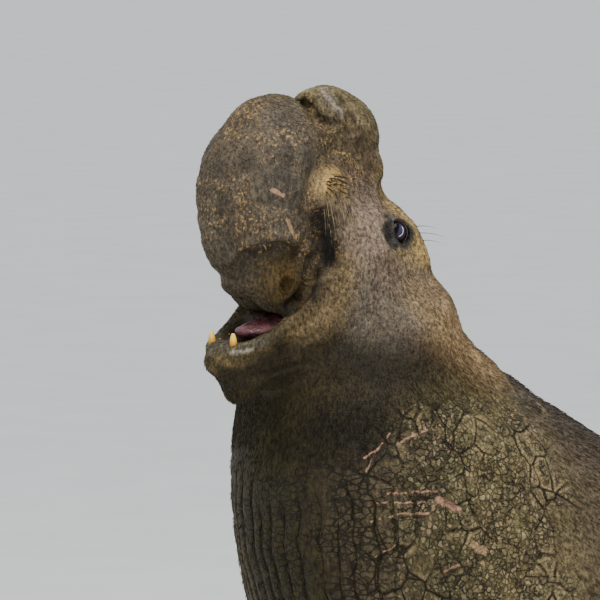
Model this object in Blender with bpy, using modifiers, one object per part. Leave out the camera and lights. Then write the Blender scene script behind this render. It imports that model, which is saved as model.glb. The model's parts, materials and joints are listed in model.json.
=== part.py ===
"""A bull northern elephant seal at life size, reared up on its fore flippers and calling with its head thrown back.

The flesh is fused from a lofted trunk of the body and rounded lobes, relaxed into one skin, and parted by thin cuts.
Lengths are in metres. x runs from the chest to the tail, side is towards the animal's own left, and z is up.
"""

import math

import bmesh
import bpy
import numpy as np
from mathutils import Matrix, Vector

GAP = 0.0003
VOXEL = 0.011
TRIANGLES = 8200

# The origin is under the middle of the whole animal, so the chest front sits this far ahead of it.
CHEST_FRONT_X = -1.824

# Body sections from tail to skull: a point on the back (x, z), the point under it (x, z), half width.
BODY = {
    "tail_root": (3.30, 0.22, 3.27, 0.03, 0.120),
    "hips": (3.08, 0.37, 3.03, -0.01, 0.215),
    "thighs": (2.85, 0.505, 2.79, -0.03, 0.310),
    "loins": (2.50, 0.650, 2.43, -0.05, 0.420),
    "rear_belly": (2.10, 0.765, 2.02, -0.06, 0.490),
    "belly": (1.72, 0.825, 1.60, -0.06, 0.525),
    "ribs": (1.40, 0.862, 1.18, -0.05, 0.530),
    "armpits": (1.16, 0.905, 0.76, 0.05, 0.515),
    "shoulders": (0.99, 0.965, 0.40, 0.26, 0.485),
    "chest": (0.84, 1.035, 0.15, 0.50, 0.440),
    "breast": (0.70, 1.115, 0.048, 0.72, 0.390),
    "neck_base": (0.58, 1.190, 0.008, 0.91, 0.345),
    "neck": (0.50, 1.250, 0.005, 1.05, 0.300),
    "throat": (0.445, 1.305, 0.02, 1.165, 0.262),
    "nape": (0.424, 1.384, 0.06, 1.27, 0.218),
    "skull_base": (0.345, 1.425, 0.12, 1.37, 0.145),
}

# The head's own frame: its origin is midway between the eyes and it is pitched up from level.
EYE_LINE_X = 0.262
EYE_LINE_Z = 1.496
HEAD_PITCH = math.radians(66)
EYE_SIDE = 0.099
EYE_RADIUS = 0.031

# How far the undersides of the hands and feet are pressed below the floor before they are cut flat on it.
PRESS = 0.008

# Fingers as (degrees back from straight out, length) and toes as (degrees out from straight back, length, lift).
FINGERS = ((-2, 0.30), (13, 0.325), (28, 0.315), (43, 0.285), (58, 0.24))
TOES = ((-4, 0.40, 0.05), (5, 0.35, 0.035), (14, 0.33, 0.02), (23, 0.36, 0.01), (33, 0.42, 0.0))


def clear_scene():
    for obj in list(bpy.data.objects):
        bpy.data.objects.remove(obj)


def place(x, side, z):
    """A point from its distance behind the chest front, its distance to the animal's left, and its height."""
    return Vector((x + CHEST_FRONT_X, -side, z))


def on_head(forward, side, up):
    """A point given along the skull: towards the nose, to the animal's left, and towards the crown."""
    cos, sin = math.cos(HEAD_PITCH), math.sin(HEAD_PITCH)
    x = EYE_LINE_X - forward * cos + up * sin
    z = EYE_LINE_Z + forward * sin + up * cos
    return place(x, side, z)


def new_object(name, mesh):
    made = bpy.data.objects.new(name, mesh)
    bpy.context.scene.collection.objects.link(made)
    return made


def from_bmesh(name, bm):
    bmesh.ops.recalc_face_normals(bm, faces=bm.faces)
    mesh = bpy.data.meshes.new(name)
    bm.to_mesh(mesh)
    bm.free()
    return new_object(name, mesh)


def lobe(name, centre, semi_axes, pitch=0.0, yaw=0.0):
    """An ellipsoid. Its semi-axes run forward, sideways and up, before it is pitched up and turned to the left."""
    bm = bmesh.new()
    bmesh.ops.create_uvsphere(bm, u_segments=32, v_segments=20, radius=1)
    turn = Matrix.Rotation(yaw, 4, "Z") @ Matrix.Rotation(pitch, 4, "Y")
    bmesh.ops.transform(bm, matrix=Matrix.Translation(centre) @ turn @ Matrix.Diagonal((*semi_axes, 1)), verts=bm.verts)
    return from_bmesh(name, bm)


def smooth_path(points, steps):
    """Points read from a Catmull-Rom curve through the given ones, evenly in number between each two."""
    points = [np.array(p, float) for p in points]
    points = [2 * points[0] - points[1], *points, 2 * points[-1] - points[-2]]
    path = []
    for a, b, c, d in zip(points, points[1:], points[2:], points[3:]):
        for step in range(steps):
            t = step / steps
            path.append(0.5 * (2 * b + (c - a) * t + (2 * a - 5 * b + 4 * c - d) * t * t + (3 * b - a - 3 * c + d) * t**3))
    return [*path, points[-2]]


def skin_rings(name, rings, sides=48):
    """A closed tube over rings of (centre, one half axis, the other half axis), with rounded ends."""
    first, last = rings[0], rings[-1]
    ends = []
    for ring, ahead in ((first, first[0] - rings[1][0]), (last, last[0] - rings[-2][0])):
        depth = min(ring[1].length, ring[2].length)
        ahead = ahead.normalized() * depth
        turns = [math.radians(a) for a in (30, 55, 75)]
        ends.append([(ring[0] + ahead * math.sin(a), ring[1] * math.cos(a), ring[2] * math.cos(a)) for a in turns])
    bm = bmesh.new()
    made = []
    for centre, one, other in [*reversed(ends[0]), *rings, *ends[1]]:
        angles = [math.tau * k / sides for k in range(sides)]
        made.append([bm.verts.new(centre + one * math.cos(a) + other * math.sin(a)) for a in angles])
    for back, front in zip(made, made[1:]):
        for k in range(sides):
            bm.faces.new((back[k], back[(k + 1) % sides], front[(k + 1) % sides], front[k]))
    bm.faces.new(made[0])
    bm.faces.new(made[-1])
    return from_bmesh(name, bm)


def body_tube(name, sections, steps=4):
    """A tube through sections of a back point, the point under it, and a half width."""
    rings = []
    for back_x, back_z, belly_x, belly_z, width in smooth_path(sections, steps):
        back, belly = place(back_x, 0, back_z), place(belly_x, 0, belly_z)
        rings.append(((back + belly) / 2, Vector((0, width, 0)), (back - belly) / 2))
    return skin_rings(name, rings)


def tube(name, stations, flat_to=Vector((0, 1, 0)), steps=4, sides=48):
    """A tube along stations of (point, half width along flat_to, half depth across it)."""
    rows = smooth_path([(*point, width, depth) for point, width, depth in stations], steps)
    rings = []
    for i, row in enumerate(rows):
        ahead = Vector(rows[min(i + 1, len(rows) - 1)][:3]) - Vector(rows[max(i - 1, 0)][:3])
        side = (flat_to - flat_to.project(ahead)).normalized()
        rings.append((Vector(row[:3]), side * row[3], side.cross(ahead).normalized() * row[4]))
    return skin_rings(name, rings, sides)


def evaluated(obj):
    bpy.context.view_layer.update()
    graph = bpy.context.evaluated_depsgraph_get()
    mesh = bpy.data.meshes.new_from_object(obj.evaluated_get(graph))
    obj.modifiers.clear()
    obj.data = mesh
    return obj


def joined(name, objects):
    """One object with every piece's faces, not yet fused."""
    bm = bmesh.new()
    for obj in objects:
        bm.from_mesh(obj.data)
        bpy.data.objects.remove(obj)
    mesh = bpy.data.meshes.new(name)
    bm.to_mesh(mesh)
    bm.free()
    return new_object(name, mesh)


def fused(name, objects, voxel):
    """The pieces as one closed skin, by a voxel remesh."""
    obj = joined(name, objects)
    remesh = obj.modifiers.new("fuse", "REMESH")
    remesh.mode = "VOXEL"
    remesh.voxel_size = voxel
    return evaluated(obj)


def coords(obj):
    points = np.empty(len(obj.data.vertices) * 3, np.float32)
    obj.data.vertices.foreach_get("co", points)
    return points.reshape(-1, 3).astype(float)


def set_coords(obj, points):
    obj.data.vertices.foreach_set("co", points.astype(np.float32).ravel())
    obj.data.update()


def near(points, centre, reach):
    """1 at centre, falling smoothly to 0 at reach."""
    distance = np.linalg.norm(points - np.array(centre), axis=1) / reach
    share = np.clip(1 - distance, 0, 1)
    return share * share * (3 - 2 * share)


def duplicate(obj, name):
    return new_object(name, obj.data.copy())


def swell(obj, amount):
    """Moves the skin out along its normals."""
    normals = np.empty(len(obj.data.vertices) * 3, np.float32)
    obj.data.vertices.foreach_get("normal", normals)
    set_coords(obj, coords(obj) + normals.reshape(-1, 3) * amount)


def relax(obj, weights, reach, voxel):
    """Smooths out what is smaller than reach, where weights is above 0."""
    group = obj.vertex_groups.new(name="relax")
    for level in range(1, 11):
        chosen = np.nonzero(np.round(weights * 10) == level)[0]
        if len(chosen):
            group.add(chosen.tolist(), level / 10, "REPLACE")
    smooth = obj.modifiers.new("relax", "SMOOTH")
    smooth.factor = 0.5
    smooth.iterations = max(1, round((reach / voxel) ** 2))
    smooth.vertex_group = group.name
    evaluated(obj)
    obj.vertex_groups.clear()
    return obj


def stroke(points, path, reach, lift):
    """How far each point is raised by a soft line drawn through path: lift on the line, nothing beyond reach."""
    line = np.array(smooth_path(path, 4))
    close = np.nonzero(np.all((points > line.min(axis=0) - reach) & (points < line.max(axis=0) + reach), axis=1))[0]
    nearest = np.full(len(close), np.inf)
    for start, end in zip(line, line[1:]):
        along = end - start
        share = np.clip((points[close] - start) @ along / (along @ along), 0, 1)
        nearest = np.minimum(nearest, np.linalg.norm(points[close] - start - share[:, None] * along, axis=1))
    share = np.clip(1 - nearest / reach, 0, 1)
    raised = np.zeros(len(points))
    raised[close] = lift * share * share * (3 - 2 * share)
    return raised


def raise_strokes(obj, strokes):
    """Draws every stroke on both sides of the skin: (path of x, side, z; reach; lift), a groove where lift is below 0."""
    points = coords(obj)
    total = np.zeros(len(points))
    for path, reach, lift in strokes:
        for side in (-1, 1):
            total += stroke(points, [place(x, side * out, z) for x, out, z in path], reach, lift)
    normals = np.empty(len(points) * 3, np.float32)
    obj.data.vertices.foreach_get("normal", normals)
    set_coords(obj, points + normals.reshape(-1, 3) * total[:, None])


def eye_centre(side):
    return on_head(0, side * EYE_SIDE, 0)


def head_lobes():
    made = [
        lobe("cranium", on_head(-0.078, 0, -0.042), (0.192, 0.145, 0.143), HEAD_PITCH),
        lobe("muzzle", on_head(0.085, 0, -0.045), (0.150, 0.105, 0.108), HEAD_PITCH),
        lobe("jowls", place(0.215, 0, 1.335), (0.150, 0.180, 0.150)),
    ]
    for side in (-1, 1):
        made += [
            lobe("pad", place(0.092, side * 0.078, 1.592), (0.062, 0.056, 0.062)),
            lobe("pad_end", place(0.120, side * 0.085, 1.552), (0.046, 0.050, 0.050)),
            lobe("cheek", place(0.190, side * 0.082, 1.430), (0.112, 0.080, 0.140)),
            lobe("cheek_fill", place(0.155, side * 0.074, 1.360), (0.092, 0.074, 0.100)),
            lobe("jaw_muscle", place(0.130, side * 0.072, 1.308), (0.118, 0.080, 0.088)),
            lobe("brow", on_head(-0.010, side * 0.070, 0.030), (0.070, 0.044, 0.036), HEAD_PITCH),
            lobe("lids", eye_centre(side), (EYE_RADIUS + 0.0085,) * 3),
        ]
    return made


def jaw():
    return tube(
        "jaw",
        [
            (place(0.20, 0, 1.265), 0.150, 0.110),
            (place(0.10, 0, 1.248), 0.125, 0.085),
            (place(0.02, 0, 1.240), 0.095, 0.066),
            (place(-0.04, 0, 1.237), 0.075, 0.056),
            (place(-0.075, 0, 1.240), 0.058, 0.048),
        ],
    )


def lips():
    """A roll of lip all round the open mouth, from the chin past both corners to the front of the upper jaw."""
    half = [
        (0.0, -0.102, 1.262, 0.018),
        (0.042, -0.090, 1.264, 0.018),
        (0.070, -0.052, 1.276, 0.020),
        (0.088, 0.006, 1.308, 0.024),
        (0.100, 0.062, 1.366, 0.025),
        (0.104, 0.096, 1.432, 0.025),
        (0.102, 0.102, 1.490, 0.026),
        (0.090, 0.080, 1.550, 0.028),
        (0.060, 0.065, 1.600, 0.030),
        (0.0, 0.060, 1.615, 0.030),
    ]
    made = []
    for side in (-1, 1):
        stations = [(place(x, side * out, z), radius, radius) for out, x, z, radius in half]
        made.append(tube("lip", stations, Vector((0.9, 0, 0.44))))
    return made


def nose_lobes():
    """The proboscis: a hump over the snout, the swollen lobe that hangs before the mouth, and the tip curled into it."""
    return [
        lobe("hump", place(0.170, 0, 1.690), (0.110, 0.105, 0.110)),
        lobe("hump_base", place(0.195, 0, 1.620), (0.095, 0.100, 0.090)),
        tube(
            "nose",
            [
                (place(0.084, 0, 1.650), 0.108, 0.100),
                (place(0.038, 0, 1.648), 0.120, 0.122),
                (place(0.004, 0, 1.610), 0.130, 0.132),
                (place(-0.010, 0, 1.550), 0.130, 0.124),
                (place(-0.014, 0, 1.495), 0.119, 0.110),
                (place(-0.016, 0, 1.455), 0.097, 0.093),
                (place(-0.018, 0, 1.424), 0.070, 0.066),
            ],
        ),
        lobe("root_left", place(0.062, 0.056, 1.472), (0.046, 0.044, 0.052)),
        lobe("root_right", place(0.062, -0.056, 1.472), (0.046, 0.044, 0.052)),
        lobe("nostril_left", place(0.022, 0.036, 1.403), (0.070, 0.069, 0.072)),
        lobe("nostril_right", place(0.022, -0.036, 1.403), (0.070, 0.069, 0.072)),
    ]


# The hollow of the open mouth: centre (x, side, z) and semi-axes of each lobe.
MOUTH_LOBES = (
    ((0.000, 0, 1.430), (0.095, 0.078, 0.145)),
    ((0.060, 0, 1.480), (0.082, 0.074, 0.100)),
    ((0.085, 0, 1.385), (0.120, 0.062, 0.075)),
    ((-0.020, 0, 1.320), (0.080, 0.058, 0.050)),
)


def mouth_void():
    return fused("mouth_void", [lobe("hollow", place(*centre), semi_axes) for centre, semi_axes in MOUTH_LOBES], 0.008)


def fan(name, root, root_width, digits, depth):
    """Digits that spread from a root and share a web for most of their length: (heading, length, lift at the tip)."""
    made = []
    for heading, length, lift in digits:
        across = heading.cross(Vector((0, 0, 1)))
        stations = []
        for share, width, thick in ((0, 1.0, 1.0), (0.45, 1.15, 0.75), (0.8, 0.95, 0.45), (1.0, 0.50, 0.32)):
            point = root + heading * length * share
            point.z = max(root.z * (1 - share), depth * thick) + lift * share - PRESS
            stations.append((point, root_width * width, depth * thick))
        made.append(tube(name, stations, across, 4))
    return made


def heading_of(degrees, start, turn_to):
    angle = math.radians(degrees)
    return start * math.cos(angle) + turn_to * math.sin(angle)


def fore_flipper(side):
    """The arm comes out low on the chest, and the hand is planted flat, its five fingers spread outwards and back."""
    out, back = Vector((0, -side, 0)), Vector((1, 0, 0))
    wrist = place(0.62, side * 0.52, 0.070)
    arm = tube(
        "arm",
        [
            (place(0.86, side * 0.32, 0.36), 0.180, 0.130),
            (place(0.75, side * 0.41, 0.23), 0.150, 0.115),
            (place(0.67, side * 0.48, 0.13), 0.122, 0.082),
            (wrist + out * 0.05 + back * 0.02, 0.104, 0.052),
        ],
        back,
    )
    digits = [(heading_of(bearing, out, back), length, 0) for bearing, length in FINGERS]
    return [arm, *fan("finger", wrist, 0.062, digits, 0.042)]


def hind_flipper(side):
    """Each hind foot trails on the sand as a fan of five toes, the outer and inner toes longest."""
    out, back = Vector((0, -side, 0)), Vector((1, 0, 0))
    ankle = place(3.38, side * 0.12, 0.075)
    leg = tube(
        "ankle",
        [
            (place(3.08, side * 0.09, 0.150), 0.120, 0.110),
            (place(3.26, side * 0.11, 0.105), 0.085, 0.075),
            (ankle, 0.072, 0.046),
        ],
    )
    digits = [(heading_of(bearing, back, out), length, lift) for bearing, length, lift in TOES]
    return [leg, *fan("toe", ankle, 0.046, digits, 0.036)]


def tail_lobe():
    return tube(
        "tail",
        [
            (place(3.20, 0, 0.150), 0.080, 0.080),
            (place(3.36, 0, 0.105), 0.050, 0.042),
            (place(3.45, 0, 0.080), 0.026, 0.020),
        ],
    )


def block(name, low, high):
    """A box between two corners."""
    bm = bmesh.new()
    bmesh.ops.create_cube(bm, size=1)
    low, high = Vector(low), Vector(high)
    size = Matrix.Diagonal((*(high - low), 1))
    bmesh.ops.transform(bm, matrix=Matrix.Translation((low + high) / 2) @ size, verts=bm.verts)
    return from_bmesh(name, bm)


def carved(obj, cutter, solver="EXACT", operation="DIFFERENCE"):
    cut = obj.modifiers.new("cut", "BOOLEAN")
    cut.operation = operation
    cut.object = cutter
    cut.solver = solver
    evaluated(obj)
    bpy.data.objects.remove(cutter)
    return obj


def relax_all(obj, reach, voxel):
    return relax(obj, np.ones(len(obj.data.vertices)), reach, voxel)


# Soft grooves and ridges of the face: path of (x, side, z), reach, lift.
FACE_STROKES = (
    # The crease between the proboscis and the whisker pad, and the hollow under the pad.
    (((0.150, 0.090, 1.672), (0.075, 0.118, 1.635), (0.042, 0.128, 1.575), (0.055, 0.120, 1.520)), 0.030, -0.012),
    (((0.092, 0.115, 1.525), (0.096, 0.118, 1.490), (0.090, 0.115, 1.440)), 0.038, -0.026),
    # The pad's lower back edge, running on as the fold of the cheek.
    (((0.150, 0.125, 1.560), (0.155, 0.135, 1.500), (0.130, 0.142, 1.430)), 0.030, -0.005),
    # The groove across the top between the hump and the lobe that hangs before the mouth.
    (((0.095, 0.0, 1.770), (0.100, 0.070, 1.745), (0.125, 0.105, 1.700)), 0.032, -0.012),
    # The ridge and the hollow on the side of the hump.
    (((0.120, 0.050, 1.785), (0.140, 0.095, 1.730)), 0.020, 0.006),
    (((0.150, 0.100, 1.720), (0.190, 0.105, 1.665), (0.225, 0.100, 1.615)), 0.036, -0.012),
    # The folds round the lower lip and between the chin and the throat.
    (((-0.060, 0.075, 1.215), (-0.010, 0.105, 1.235), (0.060, 0.130, 1.265)), 0.024, -0.007),
    (((-0.030, 0.0, 1.168), (0.000, 0.090, 1.172), (0.060, 0.160, 1.205)), 0.034, -0.010),
    # Folds across the nape.
    (((0.410, 0.0, 1.405), (0.395, 0.120, 1.375), (0.355, 0.190, 1.310)), 0.034, -0.004),
    (((0.452, 0.0, 1.350), (0.435, 0.140, 1.310), (0.390, 0.220, 1.250)), 0.034, -0.007),
    # The dimple of the ear.
    (((0.330, 0.142, 1.400), (0.332, 0.142, 1.396)), 0.018, -0.007),
)


def eye_openings():
    """The almond gaps between the lids."""
    return [
        lobe("opening", on_head(0.001, side * (EYE_SIDE + 0.030), 0.001), (0.027, 0.030, 0.021), HEAD_PITCH)
        for side in (-1, 1)
    ]


def nostrils():
    return [lobe("nostril", place(-0.001, side * 0.097, 1.398), (0.012, 0.018, 0.016)) for side in (-1, 1)]


def flesh(voxel):
    """The whole animal as one closed skin."""
    pieces = [body_tube("body", BODY.values()), *head_lobes(), jaw(), *lips(), tail_lobe()]
    for side in (-1, 1):
        pieces += [*fore_flipper(side), *hind_flipper(side)]
    head = relax_all(fused("head", pieces, voxel), 0.020, voxel)
    carved(head, mouth_void(), "MANIFOLD")
    skin = fused("flesh", [head, *nose_lobes()], voxel)
    blend = near(coords(skin), place(0.30, 0, 1.25), 0.32)
    relax(skin, blend, 0.055, voxel)
    relax_all(skin, 0.020, voxel)
    raise_strokes(skin, FACE_STROKES)
    relax_all(skin, 0.010, voxel)
    for cutter in (*eye_openings(), *nostrils()):
        carved(skin, cutter, "MANIFOLD")
    return skin


def thinned(obj, triangles):
    """The same shape in about so many triangles."""
    obj.data.calc_loop_triangles()
    thin = obj.modifiers.new("thin", "DECIMATE")
    thin.ratio = triangles / len(obj.data.loop_triangles)
    thin.use_collapse_triangulate = True
    return evaluated(obj)


def ribbon(name, line, thickness=GAP, half_width=1.5):
    """A thin upright sheet across the animal that follows a line of (x, z), for parting the flesh."""
    points = [place(x, 0, z) for x, z in line]
    bm = bmesh.new()
    rows = []
    for i, point in enumerate(points):
        ahead = points[min(i + 1, len(points) - 1)] - points[max(i - 1, 0)]
        off = ahead.cross(Vector((0, 1, 0))).normalized() * thickness / 2
        corners = [point + off * k + Vector((0, half_width * side, 0)) for k, side in ((1, -1), (1, 1), (-1, 1), (-1, -1))]
        rows.append([bm.verts.new(c) for c in corners])
    for near_row, far_row in zip(rows, rows[1:]):
        for k in range(4):
            bm.faces.new((near_row[k], near_row[(k + 1) % 4], far_row[(k + 1) % 4], far_row[k]))
    bm.faces.new(rows[0])
    bm.faces.new(rows[-1])
    return from_bmesh(name, bm)


def slab(name, centre, normal, half_size):
    """A thin square sheet square to normal, for parting a limb."""
    bm = bmesh.new()
    bmesh.ops.create_cube(bm, size=1)
    turn = normal.to_track_quat("Z", "Y").to_matrix().to_4x4()
    size = Matrix.Diagonal((2 * half_size, 2 * half_size, GAP, 1))
    bmesh.ops.transform(bm, matrix=Matrix.Translation(centre) @ turn @ size, verts=bm.verts)
    return from_bmesh(name, bm)


def tongue():
    return tube(
        "tongue",
        [
            (place(0.130, 0, 1.318), 0.034, 0.018),
            (place(0.070, 0, 1.306), 0.044, 0.020),
            (place(0.010, 0, 1.298), 0.044, 0.018),
            (place(-0.035, 0, 1.296), 0.034, 0.012),
        ],
        steps=2,
        sides=20,
    )


# Lower teeth on each side: x, side, height of the root, height of the tip, radius at the root.
TEETH = (
    (-0.091, 0.0375, 1.255, 1.303, 0.0075),
    (-0.063, 0.0500, 1.262, 1.290, 0.0050),
    (-0.036, 0.0590, 1.270, 1.297, 0.0050),
    (-0.010, 0.0650, 1.283, 1.310, 0.0050),
)


def teeth():
    made = []
    for x, out, root, tip, radius in TEETH:
        for side in (-1, 1):
            stations = [(root, 1.0), (root * 0.5 + tip * 0.5, 0.9), (tip - 0.4 * radius, 0.45)]
            rows = [(place(x + 0.003 * (1 - wide), side * out, z), radius * wide, radius * wide) for z, wide in stations]
            made.append(tube("tooth", rows, steps=1, sides=10))
    return made


# Along each claw: its share of the finger's length, height and half width.
CLAW_STATIONS = ((0.86, 0.018, 0.0085), (0.96, 0.026, 0.0080), (1.06, 0.016, 0.0040))


def claws(side):
    """A stout claw on the upper side of each finger's end."""
    out, back = Vector((0, -side, 0)), Vector((1, 0, 0))
    wrist = place(0.62, side * 0.52, 0)
    made = []
    for bearing, length in FINGERS:
        heading = heading_of(bearing, out, back)
        rows = []
        for share, height, width in CLAW_STATIONS:
            rows.append((wrist + heading * length * share + Vector((0, 0, height)), width, width * 0.75))
        made.append(tube("claw", rows, heading.cross(Vector((0, 0, 1))), 2, 10))
    return made


def ball(name, centre, radius):
    bm = bmesh.new()
    bmesh.ops.create_uvsphere(bm, u_segments=20, v_segments=14, radius=radius)
    bmesh.ops.transform(bm, matrix=Matrix.Translation(centre), verts=bm.verts)
    return from_bmesh(name, bm)


# Lines (x, z) along which the flesh is parted, from the air on one side to the air on the other.
PARTINGS = {
    "jaw": ((-0.02, 1.440), (0.10, 1.425), (0.17, 1.370), (0.235, 1.2360)),
    "neck": ((-0.10, 1.1256), (0.56, 1.3430)),
    "chest": ((-0.10, 0.633), (0.85, 1.205)),
    "torso": ((1.02, -0.10), (1.22, 1.05)),
    "rump": ((2.42, -0.15), (2.52, 0.80)),
    "feet": ((3.17, -0.10), (3.17, 0.45)),
}

# A point near the middle of each node of flesh: x, side, z.
MIDDLES = {
    "head": (0.23, 0, 1.44),
    "lower_jaw": (0.08, 0, 1.25),
    "neck": (0.32, 0, 1.06),
    "chest": (0.62, 0, 0.62),
    "torso": (1.80, 0, 0.38),
    "rump": (2.80, 0, 0.22),
    "tail": (3.27, 0, 0.10),
    "fore_flipper_left": (0.72, 0.60, 0.08),
    "fore_flipper_right": (0.72, -0.60, 0.08),
    "hind_flipper_left": (3.45, 0.16, 0.07),
    "hind_flipper_right": (3.45, -0.16, 0.07),
}


def kept_largest(obj):
    """The object with only its largest closed body."""
    name = obj.name
    bodies = largest_bodies(obj)
    for scrap in bodies[1:]:
        bpy.data.objects.remove(scrap)
    bodies[0].name = name
    return bodies[0]


def largest_bodies(obj):
    """The separate closed bodies of a mesh as objects, the largest first."""
    bm = bmesh.new()
    bm.from_mesh(obj.data)
    bpy.data.objects.remove(obj)
    left, found = set(bm.verts), []
    while left:
        body, edge = set(), [left.pop()]
        while edge:
            vert = edge.pop()
            body.add(vert)
            for other in (e.other_vert(vert) for e in vert.link_edges):
                if other in left:
                    left.discard(other)
                    edge.append(other)
        found.append(body)
    made = []
    for body in sorted(found, key=len, reverse=True):
        part = bm.copy()
        part.verts.ensure_lookup_table()
        keep = {v.index for v in body}
        bmesh.ops.delete(part, geom=[v for v in part.verts if v.index not in keep], context="VERTS")
        made.append(from_bmesh("body", part))
    bm.free()
    return made


def parted(skin):
    """The flesh as one object for each node of MIDDLES."""
    for name, line in PARTINGS.items():
        carved(skin, ribbon(name, line))
    for side in (-1, 1):
        arm = place(0.66, side * 0.485, 0.135) - place(0.80, side * 0.37, 0.30)
        carved(skin, slab("arm", place(0.70, side * 0.455, 0.165), arm, 0.17))
        carved(skin, block("foot", place(3.165, side * 0.048 - GAP / 2, -0.1), place(3.80, side * 0.048 + GAP / 2, 0.4)))
    bodies = largest_bodies(skin)
    for body in bodies:
        middle = coords(body).mean(axis=0)
        name = min(MIDDLES, key=lambda n: np.linalg.norm(middle - np.array(place(*MIDDLES[n]))))
        if bpy.data.objects.get(name):
            bpy.data.objects.remove(body)
        else:
            body.name = name
    return {name: bpy.data.objects[name] for name in MIDDLES}


def material(name, colour, roughness):
    made = bpy.data.materials.new(name)
    made.use_nodes = True
    shader = made.node_tree.nodes["Principled BSDF"]
    shader.inputs["Base Color"].default_value = (*colour, 1)
    shader.inputs["Roughness"].default_value = roughness
    return made


def paint(objects):
    """The hide on every piece of flesh, a wet dark eye and a soft tongue."""
    hide = material("hide", (0.135, 0.100, 0.062), 0.75)
    eye = material("eye", (0.020, 0.018, 0.022), 0.08)
    tongue_pink = material("tongue", (0.230, 0.085, 0.075), 0.35)
    looks = {"tongue": tongue_pink, "eye_left": eye, "eye_right": eye}
    for obj in objects:
        obj.data.materials.clear()
        obj.data.materials.append(looks.get(obj.name, hide))


def main():
    clear_scene()
    skin = thinned(flesh(VOXEL), TRIANGLES)
    carved(skin, block("floor", (-4, -2, -1), (4, 2, 0)), "MANIFOLD")
    nose_shape = thinned(relax_all(fused("nose_shape", nose_lobes(), VOXEL), 0.050, VOXEL), 500)
    swell(nose_shape, 0.009)
    nose = duplicate(skin, "proboscis")
    carved(nose, duplicate(nose_shape, "nose_cutter"), "MANIFOLD", "INTERSECT")
    kept_largest(nose)
    swell(nose_shape, 2 * GAP)
    carved(skin, nose_shape, "MANIFOLD")
    nodes = parted(skin)
    for side, word in ((1, "left"), (-1, "right")):
        ball(f"eye_{word}", eye_centre(side), EYE_RADIUS)
        carved(nodes["head"], ball("socket", eye_centre(side), EYE_RADIUS + GAP))
        for claw in claws(side):
            carved(nodes[f"fore_flipper_{word}"], claw, operation="UNION")
    tongue_cutter = tongue()
    swell(tongue_cutter, GAP)
    carved(nodes["lower_jaw"], duplicate(tongue_cutter, "cutter"))
    carved(nodes["head"], tongue_cutter)
    tongue()
    for tooth in teeth():
        carved(nodes["lower_jaw"], tooth, operation="UNION")
    for obj in list(bpy.data.objects):
        kept_largest(obj)
    paint(bpy.data.objects)


if __name__ == "__main__":
    main()
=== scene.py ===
"""The looks of a bull northern elephant seal: one skin over the solids, with coat, eyes, mouth, claws and whiskers.

Lengths are in metres. x runs from the chest to the tail, side is towards the animal's own left, and z is up.
"""

import json
import math

import bmesh
import bpy
import numpy as np
from bpy.props import FloatProperty, FloatVectorProperty, IntProperty, PointerProperty
from mathutils import Matrix, Vector
from mathutils.bvhtree import BVHTree


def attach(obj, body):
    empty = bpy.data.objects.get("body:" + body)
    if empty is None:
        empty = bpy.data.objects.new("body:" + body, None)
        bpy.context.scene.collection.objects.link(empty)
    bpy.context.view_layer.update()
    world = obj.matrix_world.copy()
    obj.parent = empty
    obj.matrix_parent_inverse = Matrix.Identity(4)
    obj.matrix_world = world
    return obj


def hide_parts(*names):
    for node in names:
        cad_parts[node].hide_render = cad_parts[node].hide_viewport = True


bl_info = {
    "name": "Elephant seal",
    "version": (1, 0, 0),
    "blender": (4, 5, 0),
    "location": "3D View > Sidebar > Seal",
    "description": "A life-size bull elephant seal with its hide, coat, eyes, mouth, claws and whiskers",
    "category": "Object",
}

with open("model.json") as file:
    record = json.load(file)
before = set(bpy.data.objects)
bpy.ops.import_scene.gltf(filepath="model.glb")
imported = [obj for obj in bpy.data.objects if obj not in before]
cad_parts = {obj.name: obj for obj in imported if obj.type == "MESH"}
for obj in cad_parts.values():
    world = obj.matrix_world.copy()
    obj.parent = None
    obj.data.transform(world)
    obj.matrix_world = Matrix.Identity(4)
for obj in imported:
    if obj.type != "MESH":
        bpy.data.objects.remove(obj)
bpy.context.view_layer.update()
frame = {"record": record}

FLESH_NODES = [node["node"] for node in frame["record"]["subparts"] if node["material_slot"] == "hide"]

# The origin is under the middle of the whole animal, so the chest front sits this far ahead of it.
CHEST_FRONT_X = -1.824

# Body sections from tail to skull: a point on the back (x, z), the point under it (x, z), half width.
BODY = {
    "tail_root": (3.30, 0.22, 3.27, 0.03, 0.120),
    "hips": (3.08, 0.37, 3.03, -0.01, 0.215),
    "thighs": (2.85, 0.505, 2.79, -0.03, 0.310),
    "loins": (2.50, 0.650, 2.43, -0.05, 0.420),
    "rear_belly": (2.10, 0.765, 2.02, -0.06, 0.490),
    "belly": (1.72, 0.825, 1.60, -0.06, 0.525),
    "ribs": (1.40, 0.862, 1.18, -0.05, 0.530),
    "armpits": (1.16, 0.905, 0.76, 0.05, 0.515),
    "shoulders": (0.99, 0.965, 0.40, 0.26, 0.485),
    "chest": (0.84, 1.035, 0.15, 0.50, 0.440),
    "breast": (0.70, 1.115, 0.048, 0.72, 0.390),
    "neck_base": (0.58, 1.190, 0.008, 0.91, 0.345),
    "neck": (0.50, 1.250, 0.005, 1.05, 0.300),
    "throat": (0.445, 1.305, 0.02, 1.165, 0.262),
    "nape": (0.424, 1.384, 0.06, 1.27, 0.218),
    "skull_base": (0.345, 1.425, 0.12, 1.37, 0.145),
}

# The head's own frame: its origin is midway between the eyes and it is pitched up from level.
EYE_LINE_X = 0.262
EYE_LINE_Z = 1.496
HEAD_PITCH = math.radians(66)
EYE_SIDE = 0.099
EYE_RADIUS = 0.031
EYE_GAP = 0.0005

# The left side, then the right.
SIDES = ((1, "left"), (-1, "right"))

# How far the undersides of the hands and feet are pressed below the floor before they are cut flat on it.
PRESS = 0.008

# Where each wrist is: x and side.
WRIST = (0.62, 0.52)

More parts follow.
